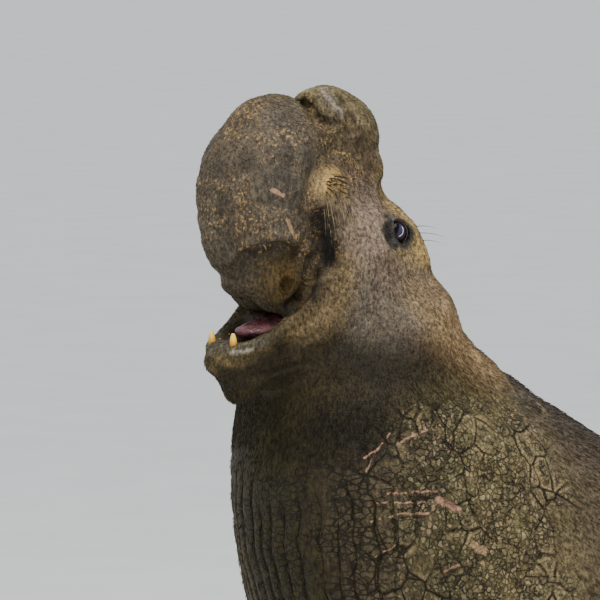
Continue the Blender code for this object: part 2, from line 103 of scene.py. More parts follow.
# Fingers as (degrees back from straight out, length) and toes as (degrees out from straight back, length, lift).
FINGERS = ((-2, 0.30), (13, 0.325), (28, 0.315), (43, 0.285), (58, 0.24))
TOES = ((-4, 0.40, 0.05), (5, 0.35, 0.035), (14, 0.33, 0.02), (23, 0.36, 0.01), (33, 0.42, 0.0))


def place(x, side, z):
    """A point from its distance behind the chest front, its distance to the animal's left, and its height."""
    return Vector((x + CHEST_FRONT_X, -side, z))


def on_head(forward, side, up):
    """A point given along the skull: towards the nose, to the animal's left, and towards the crown."""
    cos, sin = math.cos(HEAD_PITCH), math.sin(HEAD_PITCH)
    x = EYE_LINE_X - forward * cos + up * sin
    z = EYE_LINE_Z + forward * sin + up * cos
    return place(x, side, z)


def new_object(name, mesh):
    made = bpy.data.objects.new(name, mesh)
    bpy.context.scene.collection.objects.link(made)
    return made


def from_bmesh(name, bm):
    bmesh.ops.recalc_face_normals(bm, faces=bm.faces)
    mesh = bpy.data.meshes.new(name)
    bm.to_mesh(mesh)
    bm.free()
    return new_object(name, mesh)


def lobe(name, centre, semi_axes, pitch=0.0, yaw=0.0):
    """An ellipsoid. Its semi-axes run forward, sideways and up, before it is pitched up and turned to the left."""
    bm = bmesh.new()
    bmesh.ops.create_uvsphere(bm, u_segments=32, v_segments=20, radius=1)
    turn = Matrix.Rotation(yaw, 4, "Z") @ Matrix.Rotation(pitch, 4, "Y")
    matrix = Matrix.Translation(centre) @ turn @ Matrix.Diagonal((*semi_axes, 1))
    bmesh.ops.transform(bm, matrix=matrix, verts=bm.verts)
    return from_bmesh(name, bm)


def smooth_path(points, steps):
    """Points read from a Catmull-Rom curve through the given ones, evenly in number between each two."""
    points = [np.array(p, float) for p in points]
    points = [2 * points[0] - points[1], *points, 2 * points[-1] - points[-2]]
    path = []
    for a, b, c, d in zip(points, points[1:], points[2:], points[3:]):
        for step in range(steps):
            t = step / steps
            bend = (2 * a - 5 * b + 4 * c - d) * t * t
            twist = (3 * b - a - 3 * c + d) * t**3
            path.append(0.5 * (2 * b + (c - a) * t + bend + twist))
    return [*path, points[-2]]


def skin_rings(name, rings, sides=48):
    """A closed tube over rings of (centre, one half axis, the other half axis), with rounded ends."""
    first, last = rings[0], rings[-1]
    ends = []
    for ring, ahead in ((first, first[0] - rings[1][0]), (last, last[0] - rings[-2][0])):
        depth = min(ring[1].length, ring[2].length)
        ahead = ahead.normalized() * depth
        turns = [math.radians(a) for a in (30, 55, 75)]
        ends.append([(ring[0] + ahead * math.sin(a), ring[1] * math.cos(a), ring[2] * math.cos(a)) for a in turns])
    bm = bmesh.new()
    made = []
    for centre, one, other in [*reversed(ends[0]), *rings, *ends[1]]:
        angles = [math.tau * k / sides for k in range(sides)]
        made.append([bm.verts.new(centre + one * math.cos(a) + other * math.sin(a)) for a in angles])
    for back, front in zip(made, made[1:]):
        for k in range(sides):
            bm.faces.new((back[k], back[(k + 1) % sides], front[(k + 1) % sides], front[k]))
    bm.faces.new(made[0])
    bm.faces.new(made[-1])
    return from_bmesh(name, bm)


def body_tube(name, sections, steps=4):
    """A tube through sections of a back point, the point under it, and a half width."""
    rings = []
    for back_x, back_z, belly_x, belly_z, width in smooth_path(sections, steps):
        back, belly = place(back_x, 0, back_z), place(belly_x, 0, belly_z)
        rings.append(((back + belly) / 2, Vector((0, width, 0)), (back - belly) / 2))
    return skin_rings(name, rings)


def tube(name, stations, flat_to=Vector((0, 1, 0)), steps=4, sides=48):
    """A tube along stations of (point, half width along flat_to, half depth across it)."""
    rows = smooth_path([(*point, width, depth) for point, width, depth in stations], steps)
    rings = []
    for i, row in enumerate(rows):
        ahead = Vector(rows[min(i + 1, len(rows) - 1)][:3]) - Vector(rows[max(i - 1, 0)][:3])
        side = (flat_to - flat_to.project(ahead)).normalized()
        rings.append((Vector(row[:3]), side * row[3], side.cross(ahead).normalized() * row[4]))
    return skin_rings(name, rings, sides)


def evaluated(obj):
    bpy.context.view_layer.update()
    graph = bpy.context.evaluated_depsgraph_get()
    mesh = bpy.data.meshes.new_from_object(obj.evaluated_get(graph))
    obj.modifiers.clear()
    obj.data = mesh
    return obj


def joined(name, objects):
    """One object with every piece's faces, not yet fused."""
    bm = bmesh.new()
    for obj in objects:
        bm.from_mesh(obj.data)
        bpy.data.objects.remove(obj)
    mesh = bpy.data.meshes.new(name)
    bm.to_mesh(mesh)
    bm.free()
    return new_object(name, mesh)


def fused(name, objects, voxel):
    """The pieces as one closed skin, by a voxel remesh."""
    obj = joined(name, objects)
    remesh = obj.modifiers.new("fuse", "REMESH")
    remesh.mode = "VOXEL"
    remesh.voxel_size = voxel
    return evaluated(obj)


def coords(obj):
    points = np.empty(len(obj.data.vertices) * 3, np.float32)
    obj.data.vertices.foreach_get("co", points)
    return points.reshape(-1, 3).astype(float)


def set_coords(obj, points):
    obj.data.vertices.foreach_set("co", points.astype(np.float32).ravel())
    obj.data.update()


def normals_of(obj):
    normals = np.empty(len(obj.data.vertices) * 3, np.float32)
    obj.data.vertices.foreach_get("normal", normals)
    return normals.reshape(-1, 3).astype(float)


def smoothstep(value):
    value = np.clip(value, 0, 1)
    return value * value * (3 - 2 * value)


def between(value, low, high):
    """0 at low, rising smoothly to 1 at high."""
    return smoothstep((value - low) / (high - low))


def near(points, centre, reach):
    """1 at centre, falling smoothly to 0 at reach."""
    return smoothstep(1 - np.linalg.norm(points - np.array(centre), axis=1) / reach)


def relax(obj, weights, reach, voxel):
    """Smooths out what is smaller than reach, where weights is above 0."""
    group = obj.vertex_groups.new(name="relax")
    for level in range(1, 11):
        chosen = np.nonzero(np.round(weights * 10) == level)[0]
        if len(chosen):
            group.add(chosen.tolist(), level / 10, "REPLACE")
    smooth = obj.modifiers.new("relax", "SMOOTH")
    smooth.factor = 0.5
    smooth.iterations = max(1, round((reach / voxel) ** 2))
    smooth.vertex_group = group.name
    evaluated(obj)
    obj.vertex_groups.clear()
    return obj


def stroke(points, path, reach, lift):
    """How far each point is raised by a soft line drawn through path: lift on the line, nothing beyond reach."""
    line = np.array(smooth_path(path, 4))
    inside = (points > line.min(axis=0) - reach) & (points < line.max(axis=0) + reach)
    close = np.nonzero(np.all(inside, axis=1))[0]
    nearest = np.full(len(close), np.inf)
    for start, end in zip(line, line[1:]):
        along = end - start
        share = np.clip((points[close] - start) @ along / (along @ along), 0, 1)
        nearest = np.minimum(nearest, np.linalg.norm(points[close] - start - share[:, None] * along, axis=1))
    share = np.clip(1 - nearest / reach, 0, 1)
    raised = np.zeros(len(points))
    raised[close] = lift * share * share * (3 - 2 * share)
    return raised


def on_side(path, side):
    """A path of (x, side, z) as points on the left, or mirrored to the right where side is below 0."""
    return [place(x, side * out, z) for x, out, z in path]


def raise_strokes(obj, strokes):
    """Draws each stroke (path, reach, lift) on both sides of the skin, as a groove where lift is below 0."""
    points = coords(obj)
    total = np.zeros(len(points))
    for path, reach, lift in strokes:
        for side in (-1, 1):
            total += stroke(points, on_side(path, side), reach, lift)
    set_coords(obj, points + normals_of(obj) * total[:, None])


def eye_centre(side):
    return on_head(0, side * EYE_SIDE, 0)


def head_lobes():
    made = [
        lobe("cranium", on_head(-0.078, 0, -0.042), (0.192, 0.145, 0.143), HEAD_PITCH),
        lobe("muzzle", on_head(0.085, 0, -0.045), (0.150, 0.105, 0.108), HEAD_PITCH),
        lobe("jowls", place(0.215, 0, 1.335), (0.150, 0.180, 0.150)),
    ]
    for side in (-1, 1):
        made += [
            lobe("pad", place(0.092, side * 0.078, 1.592), (0.062, 0.056, 0.062)),
            lobe("pad_end", place(0.120, side * 0.085, 1.552), (0.046, 0.050, 0.050)),
            lobe("cheek", place(0.190, side * 0.082, 1.430), (0.112, 0.080, 0.140)),
            lobe("cheek_fill", place(0.155, side * 0.074, 1.360), (0.092, 0.074, 0.100)),
            lobe("jaw_muscle", place(0.130, side * 0.072, 1.308), (0.118, 0.080, 0.088)),
            lobe("brow", on_head(-0.010, side * 0.070, 0.030), (0.070, 0.044, 0.036), HEAD_PITCH),
            lobe("lids", eye_centre(side), (EYE_RADIUS + 0.0085,) * 3),
        ]
    return made


def jaw():
    return tube(
        "jaw",
        [
            (place(0.20, 0, 1.265), 0.150, 0.110),
            (place(0.10, 0, 1.248), 0.125, 0.085),
            (place(0.02, 0, 1.240), 0.095, 0.066),
            (place(-0.04, 0, 1.237), 0.075, 0.056),
            (place(-0.075, 0, 1.240), 0.058, 0.048),
        ],
    )


def lips():
    """A roll of lip all round the open mouth, from the chin past both corners to the front of the upper jaw."""
    half = [
        (0.0, -0.102, 1.262, 0.018),
        (0.042, -0.090, 1.264, 0.018),
        (0.070, -0.052, 1.276, 0.020),
        (0.088, 0.006, 1.308, 0.024),
        (0.100, 0.062, 1.366, 0.025),
        (0.104, 0.096, 1.432, 0.025),
        (0.102, 0.102, 1.490, 0.026),
        (0.090, 0.080, 1.550, 0.028),
        (0.060, 0.065, 1.600, 0.030),
        (0.0, 0.060, 1.615, 0.030),
    ]
    made = []
    for side in (-1, 1):
        stations = [(place(x, side * out, z), radius, radius) for out, x, z, radius in half]
        made.append(tube("lip", stations, Vector((0.9, 0, 0.44))))
    return made


# The lobes behind and round each nostril: x, side, z and semi-axes.
NOSTRIL_LOBES = ((0.062, 0.056, 1.472, (0.046, 0.044, 0.052)), (0.022, 0.036, 1.403, (0.070, 0.069, 0.072)))


def nose_lobes():
    """The proboscis: a hump over the snout, and the swollen lobe before the mouth, its tip curled into it."""
    made = [
        lobe("hump", place(0.170, 0, 1.690), (0.110, 0.105, 0.110)),
        lobe("hump_base", place(0.195, 0, 1.620), (0.095, 0.100, 0.090)),
        tube(
            "nose",
            [
                (place(0.084, 0, 1.650), 0.108, 0.100),
                (place(0.038, 0, 1.648), 0.120, 0.122),
                (place(0.004, 0, 1.610), 0.130, 0.132),
                (place(-0.010, 0, 1.550), 0.130, 0.124),
                (place(-0.014, 0, 1.495), 0.119, 0.110),
                (place(-0.016, 0, 1.455), 0.097, 0.093),
                (place(-0.018, 0, 1.424), 0.070, 0.066),
            ],
        ),
    ]
    for x, out, z, semi_axes in NOSTRIL_LOBES:
        made += [lobe("nostril", place(x, side * out, z), semi_axes) for side in (1, -1)]
    return made


# The hollow of the open mouth: centre (x, side, z) and semi-axes of each lobe.
MOUTH_LOBES = (
    ((0.000, 0, 1.430), (0.095, 0.078, 0.145)),
    ((0.060, 0, 1.480), (0.082, 0.074, 0.100)),
    ((0.085, 0, 1.385), (0.120, 0.062, 0.075)),
    ((-0.020, 0, 1.320), (0.080, 0.058, 0.050)),
)


MOUTH_VOXEL = 0.008


def mouth_void():
    lobes = [lobe("hollow", place(*centre), semi_axes) for centre, semi_axes in MOUTH_LOBES]
    return fused("mouth_void", lobes, MOUTH_VOXEL)


def fan(name, root, root_width, digits, depth):
    """Digits that spread from a root and share a web for most of their length: (heading, length, lift at the tip)."""
    made = []
    for heading, length, lift in digits:
        across = heading.cross(Vector((0, 0, 1)))
        stations = []
        for share, width, thick in ((0, 1.0, 1.0), (0.45, 1.15, 0.75), (0.8, 0.95, 0.45), (1.0, 0.50, 0.32)):
            point = root + heading * length * share
            point.z = max(root.z * (1 - share), depth * thick) + lift * share - PRESS
            stations.append((point, root_width * width, depth * thick))
        made.append(tube(name, stations, across))
    return made


def heading_of(degrees, start, turn_to):
    angle = math.radians(degrees)
    return start * math.cos(angle) + turn_to * math.sin(angle)


def fore_flipper(side):
    """The arm comes out low on the chest, and the hand is planted flat, its five fingers spread outwards and back."""
    out, back = Vector((0, -side, 0)), Vector((1, 0, 0))
    wrist = place(WRIST[0], side * WRIST[1], 0.070)
    arm = tube(
        "arm",
        [
            (place(0.86, side * 0.32, 0.36), 0.180, 0.130),
            (place(0.75, side * 0.41, 0.23), 0.150, 0.115),
            (place(0.67, side * 0.48, 0.13), 0.122, 0.082),
            (wrist + out * 0.05 + back * 0.02, 0.104, 0.052),
        ],
        back,
    )
    digits = [(heading_of(bearing, out, back), length, 0) for bearing, length in FINGERS]
    return [arm, *fan("finger", wrist, 0.062, digits, 0.042)]


def hind_flipper(side):
    """Each hind foot trails on the sand as a fan of five toes, the outer and inner toes longest."""
    out, back = Vector((0, -side, 0)), Vector((1, 0, 0))
    ankle = place(3.38, side * 0.12, 0.075)
    leg = tube(
        "ankle",
        [
            (place(3.08, side * 0.09, 0.150), 0.120, 0.110),
            (place(3.26, side * 0.11, 0.105), 0.085, 0.075),
            (ankle, 0.072, 0.046),
        ],
    )
    digits = [(heading_of(bearing, back, out), length, lift) for bearing, length, lift in TOES]
    return [leg, *fan("toe", ankle, 0.046, digits, 0.036)]


def tail_lobe():
    return tube(
        "tail",
        [
            (place(3.20, 0, 0.150), 0.080, 0.080),
            (place(3.36, 0, 0.105), 0.050, 0.042),
            (place(3.45, 0, 0.080), 0.026, 0.020),
        ],
    )


def carve(obj, cutter):
    cut = obj.modifiers.new("cut", "BOOLEAN")
    cut.operation = "DIFFERENCE"
    cut.object = cutter
    cut.solver = "MANIFOLD"
    evaluated(obj)
    bpy.data.objects.remove(cutter)


def relax_all(obj, reach, voxel):
    return relax(obj, np.ones(len(obj.data.vertices)), reach, voxel)


# Soft grooves and ridges of the face: path of (x, side, z), reach, lift.
FACE_STROKES = (
    # The crease between the proboscis and the whisker pad, and the hollow under the pad.
    (((0.150, 0.090, 1.672), (0.075, 0.118, 1.635), (0.042, 0.128, 1.575), (0.055, 0.120, 1.520)), 0.030, -0.012),
    (((0.092, 0.115, 1.525), (0.096, 0.118, 1.490), (0.090, 0.115, 1.440)), 0.038, -0.026),
    # The pad's lower back edge, running on as the fold of the cheek.
    (((0.150, 0.125, 1.560), (0.155, 0.135, 1.500), (0.130, 0.142, 1.430)), 0.030, -0.005),
    # The groove across the top between the hump and the lobe that hangs before the mouth.
    (((0.095, 0.0, 1.770), (0.100, 0.070, 1.745), (0.125, 0.105, 1.700)), 0.032, -0.012),
    # The ridge and the hollow on the side of the hump.
    (((0.120, 0.050, 1.785), (0.140, 0.095, 1.730)), 0.020, 0.006),
    (((0.150, 0.100, 1.720), (0.190, 0.105, 1.665), (0.225, 0.100, 1.615)), 0.036, -0.012),
    # The folds round the lower lip and between the chin and the throat.
    (((-0.060, 0.075, 1.215), (-0.010, 0.105, 1.235), (0.060, 0.130, 1.265)), 0.024, -0.007),
    (((-0.030, 0.0, 1.168), (0.000, 0.090, 1.172), (0.060, 0.160, 1.205)), 0.034, -0.010),
    # Folds across the nape.
    (((0.410, 0.0, 1.405), (0.395, 0.120, 1.375), (0.355, 0.190, 1.310)), 0.034, -0.004),
    (((0.452, 0.0, 1.350), (0.435, 0.140, 1.310), (0.390, 0.220, 1.250)), 0.034, -0.007),
    # The dimple of the ear.
    (((0.330, 0.142, 1.400), (0.332, 0.142, 1.396)), 0.018, -0.007),
)


def eye_openings():
    """The almond gaps between the lids."""
    return [
        lobe("opening", on_head(0.001, side * (EYE_SIDE + 0.030), 0.001), (0.027, 0.030, 0.021), HEAD_PITCH)
        for side in (-1, 1)
    ]


def nostrils():
    return [lobe("nostril", place(-0.001, side * 0.097, 1.398), (0.012, 0.018, 0.016)) for side in (-1, 1)]


def flesh(voxel):
    """The whole animal as one closed skin."""
    pieces = [body_tube("body", BODY.values()), *head_lobes(), jaw(), *lips(), tail_lobe()]
    for side in (-1, 1):
        pieces += [*fore_flipper(side), *hind_flipper(side)]
    head = relax_all(fused("head", pieces, voxel), 0.020, voxel)
    carve(head, mouth_void())
    skin = fused("flesh", [head, *nose_lobes()], voxel)
    blend = near(coords(skin), place(0.30, 0, 1.25), 0.32)
    relax(skin, blend, 0.055, voxel)
    relax_all(skin, 0.020, voxel)
    raise_strokes(skin, FACE_STROKES)
    relax_all(skin, 0.010, voxel)
    for cutter in (*eye_openings(), *nostrils()):
        carve(skin, cutter)
    return skin


def thin_out(obj, triangles):
    """Keeps the same shape in about so many triangles."""
    obj.data.calc_loop_triangles()
    thin = obj.modifiers.new("thin", "DECIMATE")
    thin.ratio = triangles / len(obj.data.loop_triangles)
    thin.use_collapse_triangulate = True
    evaluated(obj)


# Lower teeth on each side: x, side, height of the root, height of the tip, radius at the root.
TEETH = (
    (-0.091, 0.0375, 1.255, 1.303, 0.0075),
    (-0.063, 0.0500, 1.262, 1.290, 0.0050),
    (-0.036, 0.0590, 1.270, 1.297, 0.0050),
    (-0.010, 0.0650, 1.283, 1.310, 0.0050),
)


# Along each claw: its share of the finger's length, height and half width.
CLAW_STATIONS = ((0.86, 0.018, 0.0085), (0.96, 0.026, 0.0080), (1.06, 0.016, 0.0040))


def linear(hex_colour):
    """An sRGB hex colour as linear red, green and blue."""
    values = [int(hex_colour[k : k + 2], 16) / 255 for k in (1, 3, 5)]
    return tuple(v / 12.92 if v <= 0.04045 else ((v + 0.055) / 1.055) ** 2.4 for v in values)


def store(obj, name, values):
    """Keeps one number or one colour for each point of the mesh, for the material to read."""
    is_colour = values.ndim == 2
    attribute = obj.data.attributes.new(name, "FLOAT_COLOR" if is_colour else "FLOAT", "POINT")
    if is_colour:
        values = np.concatenate([values, np.ones((len(values), 1))], axis=1)
    attribute.data.foreach_set("color" if is_colour else "value", values.astype(np.float32).ravel())


def made_piece(name, obj, material, slot_name, *replaced):
    """Names a finished piece, gives it its material, hangs it on the root body and hides the solids it stands for."""
    obj.name = name
    obj.data.name = name
    obj.data.materials.clear()
    obj.data.materials.append(material)
    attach(obj, "root")
    if replaced:
        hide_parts(*replaced)


# The line that runs through the body, and how the hide lies along it.


# The line on from the skull to the end of the snout: x, z.
SNOUT_LINE = ((0.205, 1.50), (0.165, 1.57), (0.110, 1.65), (0.060, 1.71))

# How many points are compared with the line at a time.
POINTS_AT_ONCE = 20000


def spine():
    """Points through the middle of the body from the tail to the snout, and the way towards the tail at each."""
    rows = smooth_path(BODY.values(), 4)
    points = [place((row[0] + row[2]) / 2, 0, (row[1] + row[3]) / 2) for row in rows]
    points += [place(x, 0, z) for x, z in SNOUT_LINE]
    points = np.array([tuple(p) for p in points])
    ways = -np.gradient(points, axis=0)
    return points, ways / np.linalg.norm(ways, axis=1)[:, None]


def nearest_on(line, points):
    """The number of the point of line that is nearest to each point, a share of them at a time to save memory."""
    return np.concatenate([
        np.argmin(((part[:, None] - line[None]) ** 2).sum(axis=2), axis=1)
        for part in np.array_split(points, max(1, len(points) // POINTS_AT_ONCE))
    ])


def along_body(points):
    """For each point, the way towards the tail, and its angle round the body: 0 in front, positive on the left."""
    line, ways = spine()
    nearest = nearest_on(line, points)
    way, out = ways[nearest], points - line[nearest]
    front = way[:, 2] * out[:, 0] - way[:, 0] * out[:, 2]
    return way, np.arctan2(-out[:, 1], front)


def turn_of(points):
    """The angle round an upright line behind the breastbone: 0 in front, positive on the animal's left."""
    return np.arctan2(-points[:, 1], CHEST_MIDDLE_X - (points[:, 0] - CHEST_FRONT_X))


# The upright line that the turns of the chest are counted round, and the turns from front to side between which the
# creases fade, the cells begin and the pebbles begin.
CHEST_MIDDLE_X = 0.48
CREASED_TURN = (0.55, 0.88)
CELLED_TURN = (0.28, 0.62)
PEBBLED_TURN = (0.52, 0.88)

# The creases, the least and the greatest turn from each to the next, and about how far apart they are.
CREASE_COUNT = 60
CREASE_TURN = (0.058, 0.112)
CREASE_SPACING = 0.042

# Depth and half width of a crease's bottom and of its slopes, in metres.
CREASE_BOTTOM = (0.0065, 0.0036)
CREASE_SLOPES = (0.0022, 0.013)

# Depth of a crack between cells, and how far a cell rises in its middle.
CRACK_DEPTH = 0.0042
CELL_RISE = 0.0018


def creases():
    """The turn of each long crease down the chest, and the height at which it starts."""
    random = np.random.default_rng(4)
    turns = np.cumsum(random.uniform(*CREASE_TURN, CREASE_COUNT))
    return turns - turns[-1] / 2, random.uniform(0.97, 1.06, CREASE_COUNT)


def crease_number(points):
    """A number that passes each whole value at a crease, so that the nearest crease and the way to it can be read."""
    turns, _ = creases()
    _, y, z = points.T
    sway = 0.018 * np.sin(9 * z + 5 * y) + 0.013 * np.sin(23 * z - 7 * y + 1.3) + 0.007 * np.sin(61 * z + 12 * y)
    return np.interp(turn_of(points) + sway, turns, np.arange(CREASE_COUNT))


def crease_strength(points, number):
    """How deep the crease nearest to each point is: only on the front of the chest, from its own start downwards."""
    _, starts = creases()
    start = starts[np.clip(np.round(number).astype(int), 0, CREASE_COUNT - 1)]
    z = points[:, 2]
    wide = 1 - between(np.abs(turn_of(points)), *CREASED_TURN)
    broken = 0.85 + 0.15 * np.sin(17 * z + 2.4 * np.round(number)) * np.sin(8 * z - 1.7 * np.round(number))
    return wide * broken * between(start - z, 0.0, 0.07) * between(z, 0.25, 0.55)


# The upper edge of the chest shield, as heights above points along the side, and how far back it reaches at a height.
SHIELD_TOP = ((0.00, 1.050), (0.06, 1.070), (0.12, 1.110), (0.19, 1.175), (0.28, 1.190), (0.42, 1.180), (0.52, 1.145))
SHIELD_BACK = ((0.50, 0.400), (0.82, 0.436), (0.95, 0.462), (1.07, 0.493), (1.15, 0.520))


def shield_amount(points):
    """Where the thick cracked skin of the chest shield is: the chest and the sides of the neck, not the nape."""
    x, y, z = (points - np.array((CHEST_FRONT_X, 0, 0))).T
    wobble = 0.014 * np.sin(24 * z + 13 * x + 9 * y) + 0.009 * np.sin(61 * z + 37 * x)
    top = np.interp(x, *zip(*SHIELD_TOP)) + wobble
    back = np.interp(z, *zip(*SHIELD_BACK)) + 2 * wobble
    below_top = 1 - between(z, top - 0.05, top + 0.02)
    before_back = 1 - between(x, back - 0.02, back + 0.06)
    return below_top * before_back * between(z, 0.20, 0.50)


# Colours laid on the hide as soft patches, over one another in this order, some of them painted shade, sheen and
# highlights: path of (x, side, z), reach, colour, strength. Both sides carry them.
PATCHES = (
    # The back and flanks, paler towards the belly.
    (((0.6, 0.0, 1.2), (1.2, 0.0, 0.92), (2.0, 0.0, 0.8), (2.8, 0.0, 0.55)), 0.42, "#2f2b2d", 0.8),
    (((1.0, 0.45, 0.3), (1.8, 0.48, 0.22), (2.6, 0.36, 0.18)), 0.34, "#615645", 0.7),
    (((3.3, 0.12, 0.1), (3.75, 0.22, 0.03)), 0.3, "#383026", 0.9),
    (((0.72, 0.45, 0.16), (0.78, 0.8, 0.03)), 0.26, "#393028", 0.9),
    # The neck and throat, darkest under the chin, partly from their own dark colour and partly from painted shade under
    # the head.
    (((0.1, 0.0, 1.15), (0.02, 0.0, 0.95), (0.05, 0.0, 0.75)), 0.34, "#23200a", 0.95),
    (((0.16, 0.16, 1.22), (0.3, 0.24, 1.16), (0.08, 0.18, 1.1)), 0.2, "#181508", 0.95),
    (((0.28, 0.22, 1.3), (0.4, 0.26, 1.22)), 0.12, "#33210c", 0.7),
    # The shield's paler sides, with the pebbled tan skin.
    (((0.34, 0.34, 1.06), (0.34, 0.4, 0.86), (0.36, 0.44, 0.66)), 0.26, "#686044", 0.95),
    (((0.18, 0.3, 0.9), (0.2, 0.36, 0.66)), 0.2, "#423e27", 0.6),
    # The nape, streaked light brown.
    (((0.36, 0.0, 1.42), (0.4, 0.1, 1.36), (0.34, 0.19, 1.31), (0.42, 0.2, 1.24)), 0.14, "#87755a", 0.95),
    # The crown and the brow.
    (((0.4, 0.0, 1.42), (0.33, 0.0, 1.54), (0.3, 0.0, 1.6)), 0.14, "#85744f", 0.9),
    (((0.3, 0.11, 1.54), (0.34, 0.12, 1.47)), 0.07, "#94825a", 0.9),
    (((0.25, 0.15, 1.452), (0.29, 0.142, 1.446), (0.33, 0.12, 1.455)), 0.05, "#a8925c", 0.9),
    # The cheek, grey brown, and darker towards the jaw.
    (((0.17, 0.13, 1.56), (0.2, 0.15, 1.44), (0.26, 0.16, 1.4)), 0.14, "#6d625a", 0.95),
    (((0.14, 0.14, 1.36), (0.22, 0.17, 1.31)), 0.11, "#56514a", 0.9),
    (((0.02, 0.12, 1.3), (0.08, 0.14, 1.34), (0.11, 0.14, 1.42)), 0.06, "#62563f", 0.9),
    # The side of the neck, browner than the cheek.
    (((0.285, 0.172, 1.4), (0.27, 0.18, 1.345), (0.3, 0.21, 1.3)), 0.07, "#6a5c44", 0.65),
    # The chin, darker beneath from its own colour and from painted shade, and the lower lip with a painted wet
    # highlight.
    (((-0.09, 0.03, 1.22), (-0.04, 0.08, 1.22), (0.03, 0.12, 1.23)), 0.07, "#241f11", 0.95),
    (((-0.11, 0.0, 1.262), (-0.09, 0.045, 1.268), (-0.05, 0.076, 1.278)), 0.03, "#565449", 0.9),
    # Painted highlight: a wet glint along the lower lip.
    (((-0.098, 0.045, 1.262), (-0.09, 0.065, 1.262), (-0.072, 0.076, 1.266)), 0.007, "#a5a29c", 0.8),
    (((-0.1, 0.0, 1.24), (-0.085, 0.05, 1.245), (-0.03, 0.09, 1.26)), 0.022, "#5f553b", 0.7),
    (((-0.1, 0.01, 1.191), (-0.085, 0.035, 1.184), (-0.06, 0.055, 1.186)), 0.008, "#15110a", 0.8),
    # The whisker pad, golden, over the hollow beneath it, painted near black as the shadow under the pad.
    (((0.082, 0.106, 1.45), (0.08, 0.103, 1.496), (0.072, 0.108, 1.53)), 0.046, "#100c07", 1.0),
    (((0.082, 0.106, 1.45), (0.09, 0.108, 1.496), (0.078, 0.11, 1.534)), 0.032, "#080604", 1.0),
    (((0.1, 0.14, 1.615), (0.08, 0.14, 1.605), (0.12, 0.14, 1.595)), 0.06, "#a48c5a", 0.95),
    (((0.1, 0.13, 1.56), (0.135, 0.135, 1.55), (0.14, 0.135, 1.52)), 0.036, "#6b5f52", 0.9),
    # The shade under the hump, above the pad.
    (((0.075, 0.11, 1.67), (0.14, 0.115, 1.675), (0.19, 0.105, 1.665)), 0.05, "#464031", 0.85),
    # The proboscis: grey brown on its flank, darker in front and below, the hump olive, with painted sheen as a grey
    # hollow.
    (((0.02, 0.1, 1.72), (-0.02, 0.13, 1.62), (-0.01, 0.13, 1.5)), 0.15, "#423f3a", 0.95),
    (((-0.12, 0.0, 1.66), (-0.15, 0.0, 1.55), (-0.12, 0.0, 1.44)), 0.13, "#413d36", 0.8),
    (((0.13, 0.0, 1.8), (0.21, 0.05, 1.78), (0.26, 0.06, 1.7)), 0.12, "#5f5943", 0.95),
    # Painted sheen: the grey of the smooth saddle between the folds of the hump.
    (((0.135, 0.03, 1.795), (0.132, 0.062, 1.775), (0.14, 0.085, 1.745)), 0.024, "#6f6c68", 0.9),
    (((0.17, 0.11, 1.745), (0.19, 0.112, 1.715)), 0.03, "#6d6350", 0.6),
    # Painted shade in the hollow along the side of the hump, under its rim.
    (((0.165, 0.115, 1.69), (0.215, 0.11, 1.64)), 0.034, "#524639", 0.8),
    (((0.0, 0.085, 1.425), (0.01, 0.085, 1.385)), 0.085, "#3f3214", 0.95),
    (((0.02, 0.055, 1.345), (-0.02, 0.03, 1.35)), 0.05, "#47443a", 0.85),
    # A painted highlight along the lit rim of the lobe, in front of the groove to the hump.
    (((0.078, -0.03, 1.765), (0.088, 0.03, 1.75), (0.108, 0.078, 1.712)), 0.007, "#8f826a", 0.8),
    # The bare dark skin round the eye, its black lids, and the paler rim of the upper one.
    (
        ((0.222, 0.142, 1.512), (0.234, 0.146, 1.482), (0.27, 0.134, 1.478), (0.293, 0.118, 1.495)),
        0.024, "#2c3035", 1.0,
    ),
    (
        ((0.293, 0.118, 1.495), (0.286, 0.112, 1.516), (0.262, 0.115, 1.526), (0.236, 0.128, 1.524)),
        0.02, "#2c3035", 1.0,
    ),
    (((0.226, 0.14, 1.511), (0.228, 0.145, 1.499), (0.234, 0.147, 1.487)), 0.02, "#1e2023", 1.0),
    (((0.25, 0.122, 1.505), (0.272, 0.12, 1.49)), 0.03, "#0d0d0d", 1.0),
    (((0.246, 0.122, 1.5255), (0.262, 0.115, 1.526), (0.276, 0.113, 1.521)), 0.006, "#55545c", 0.7),
    # Painted shade in the fold under the lower lid.
    (
        ((0.209, 0.148, 1.5), (0.214, 0.152, 1.487), (0.222, 0.153, 1.475), (0.24, 0.149, 1.468)),
        0.007, "#0f0b05", 0.9,
    ),
    # Painted shade in the bottoms of the deepest folds: along the hump, round the tip, and from there to the corner of
    # the mouth.
    (
        ((0.111, -0.034, 1.768), (0.112, -0.006, 1.758), (0.1, 0.043, 1.744), (0.113, 0.07, 1.724)),
        0.016, "#1b150d", 0.9,
    ),
    (
        ((0.153, 0.053, 1.782), (0.153, 0.071, 1.768), (0.156, 0.084, 1.752), (0.162, 0.09, 1.734)),
        0.012, "#2a231a", 0.7,
    ),
    (
        ((-0.083, 0.067, 1.46), (-0.041, 0.106, 1.476), (-0.009, 0.107, 1.471), (0.031, 0.091, 1.459)),
        0.016, "#1f170c", 0.8,
    ),
    (
        ((0.068, 0.096, 1.449), (0.053, 0.102, 1.408), (0.039, 0.105, 1.384), (0.009, 0.087, 1.345)),
        0.017, "#0c0805", 1.0,
    ),
)
BASE_COLOUR = "#4a4236"

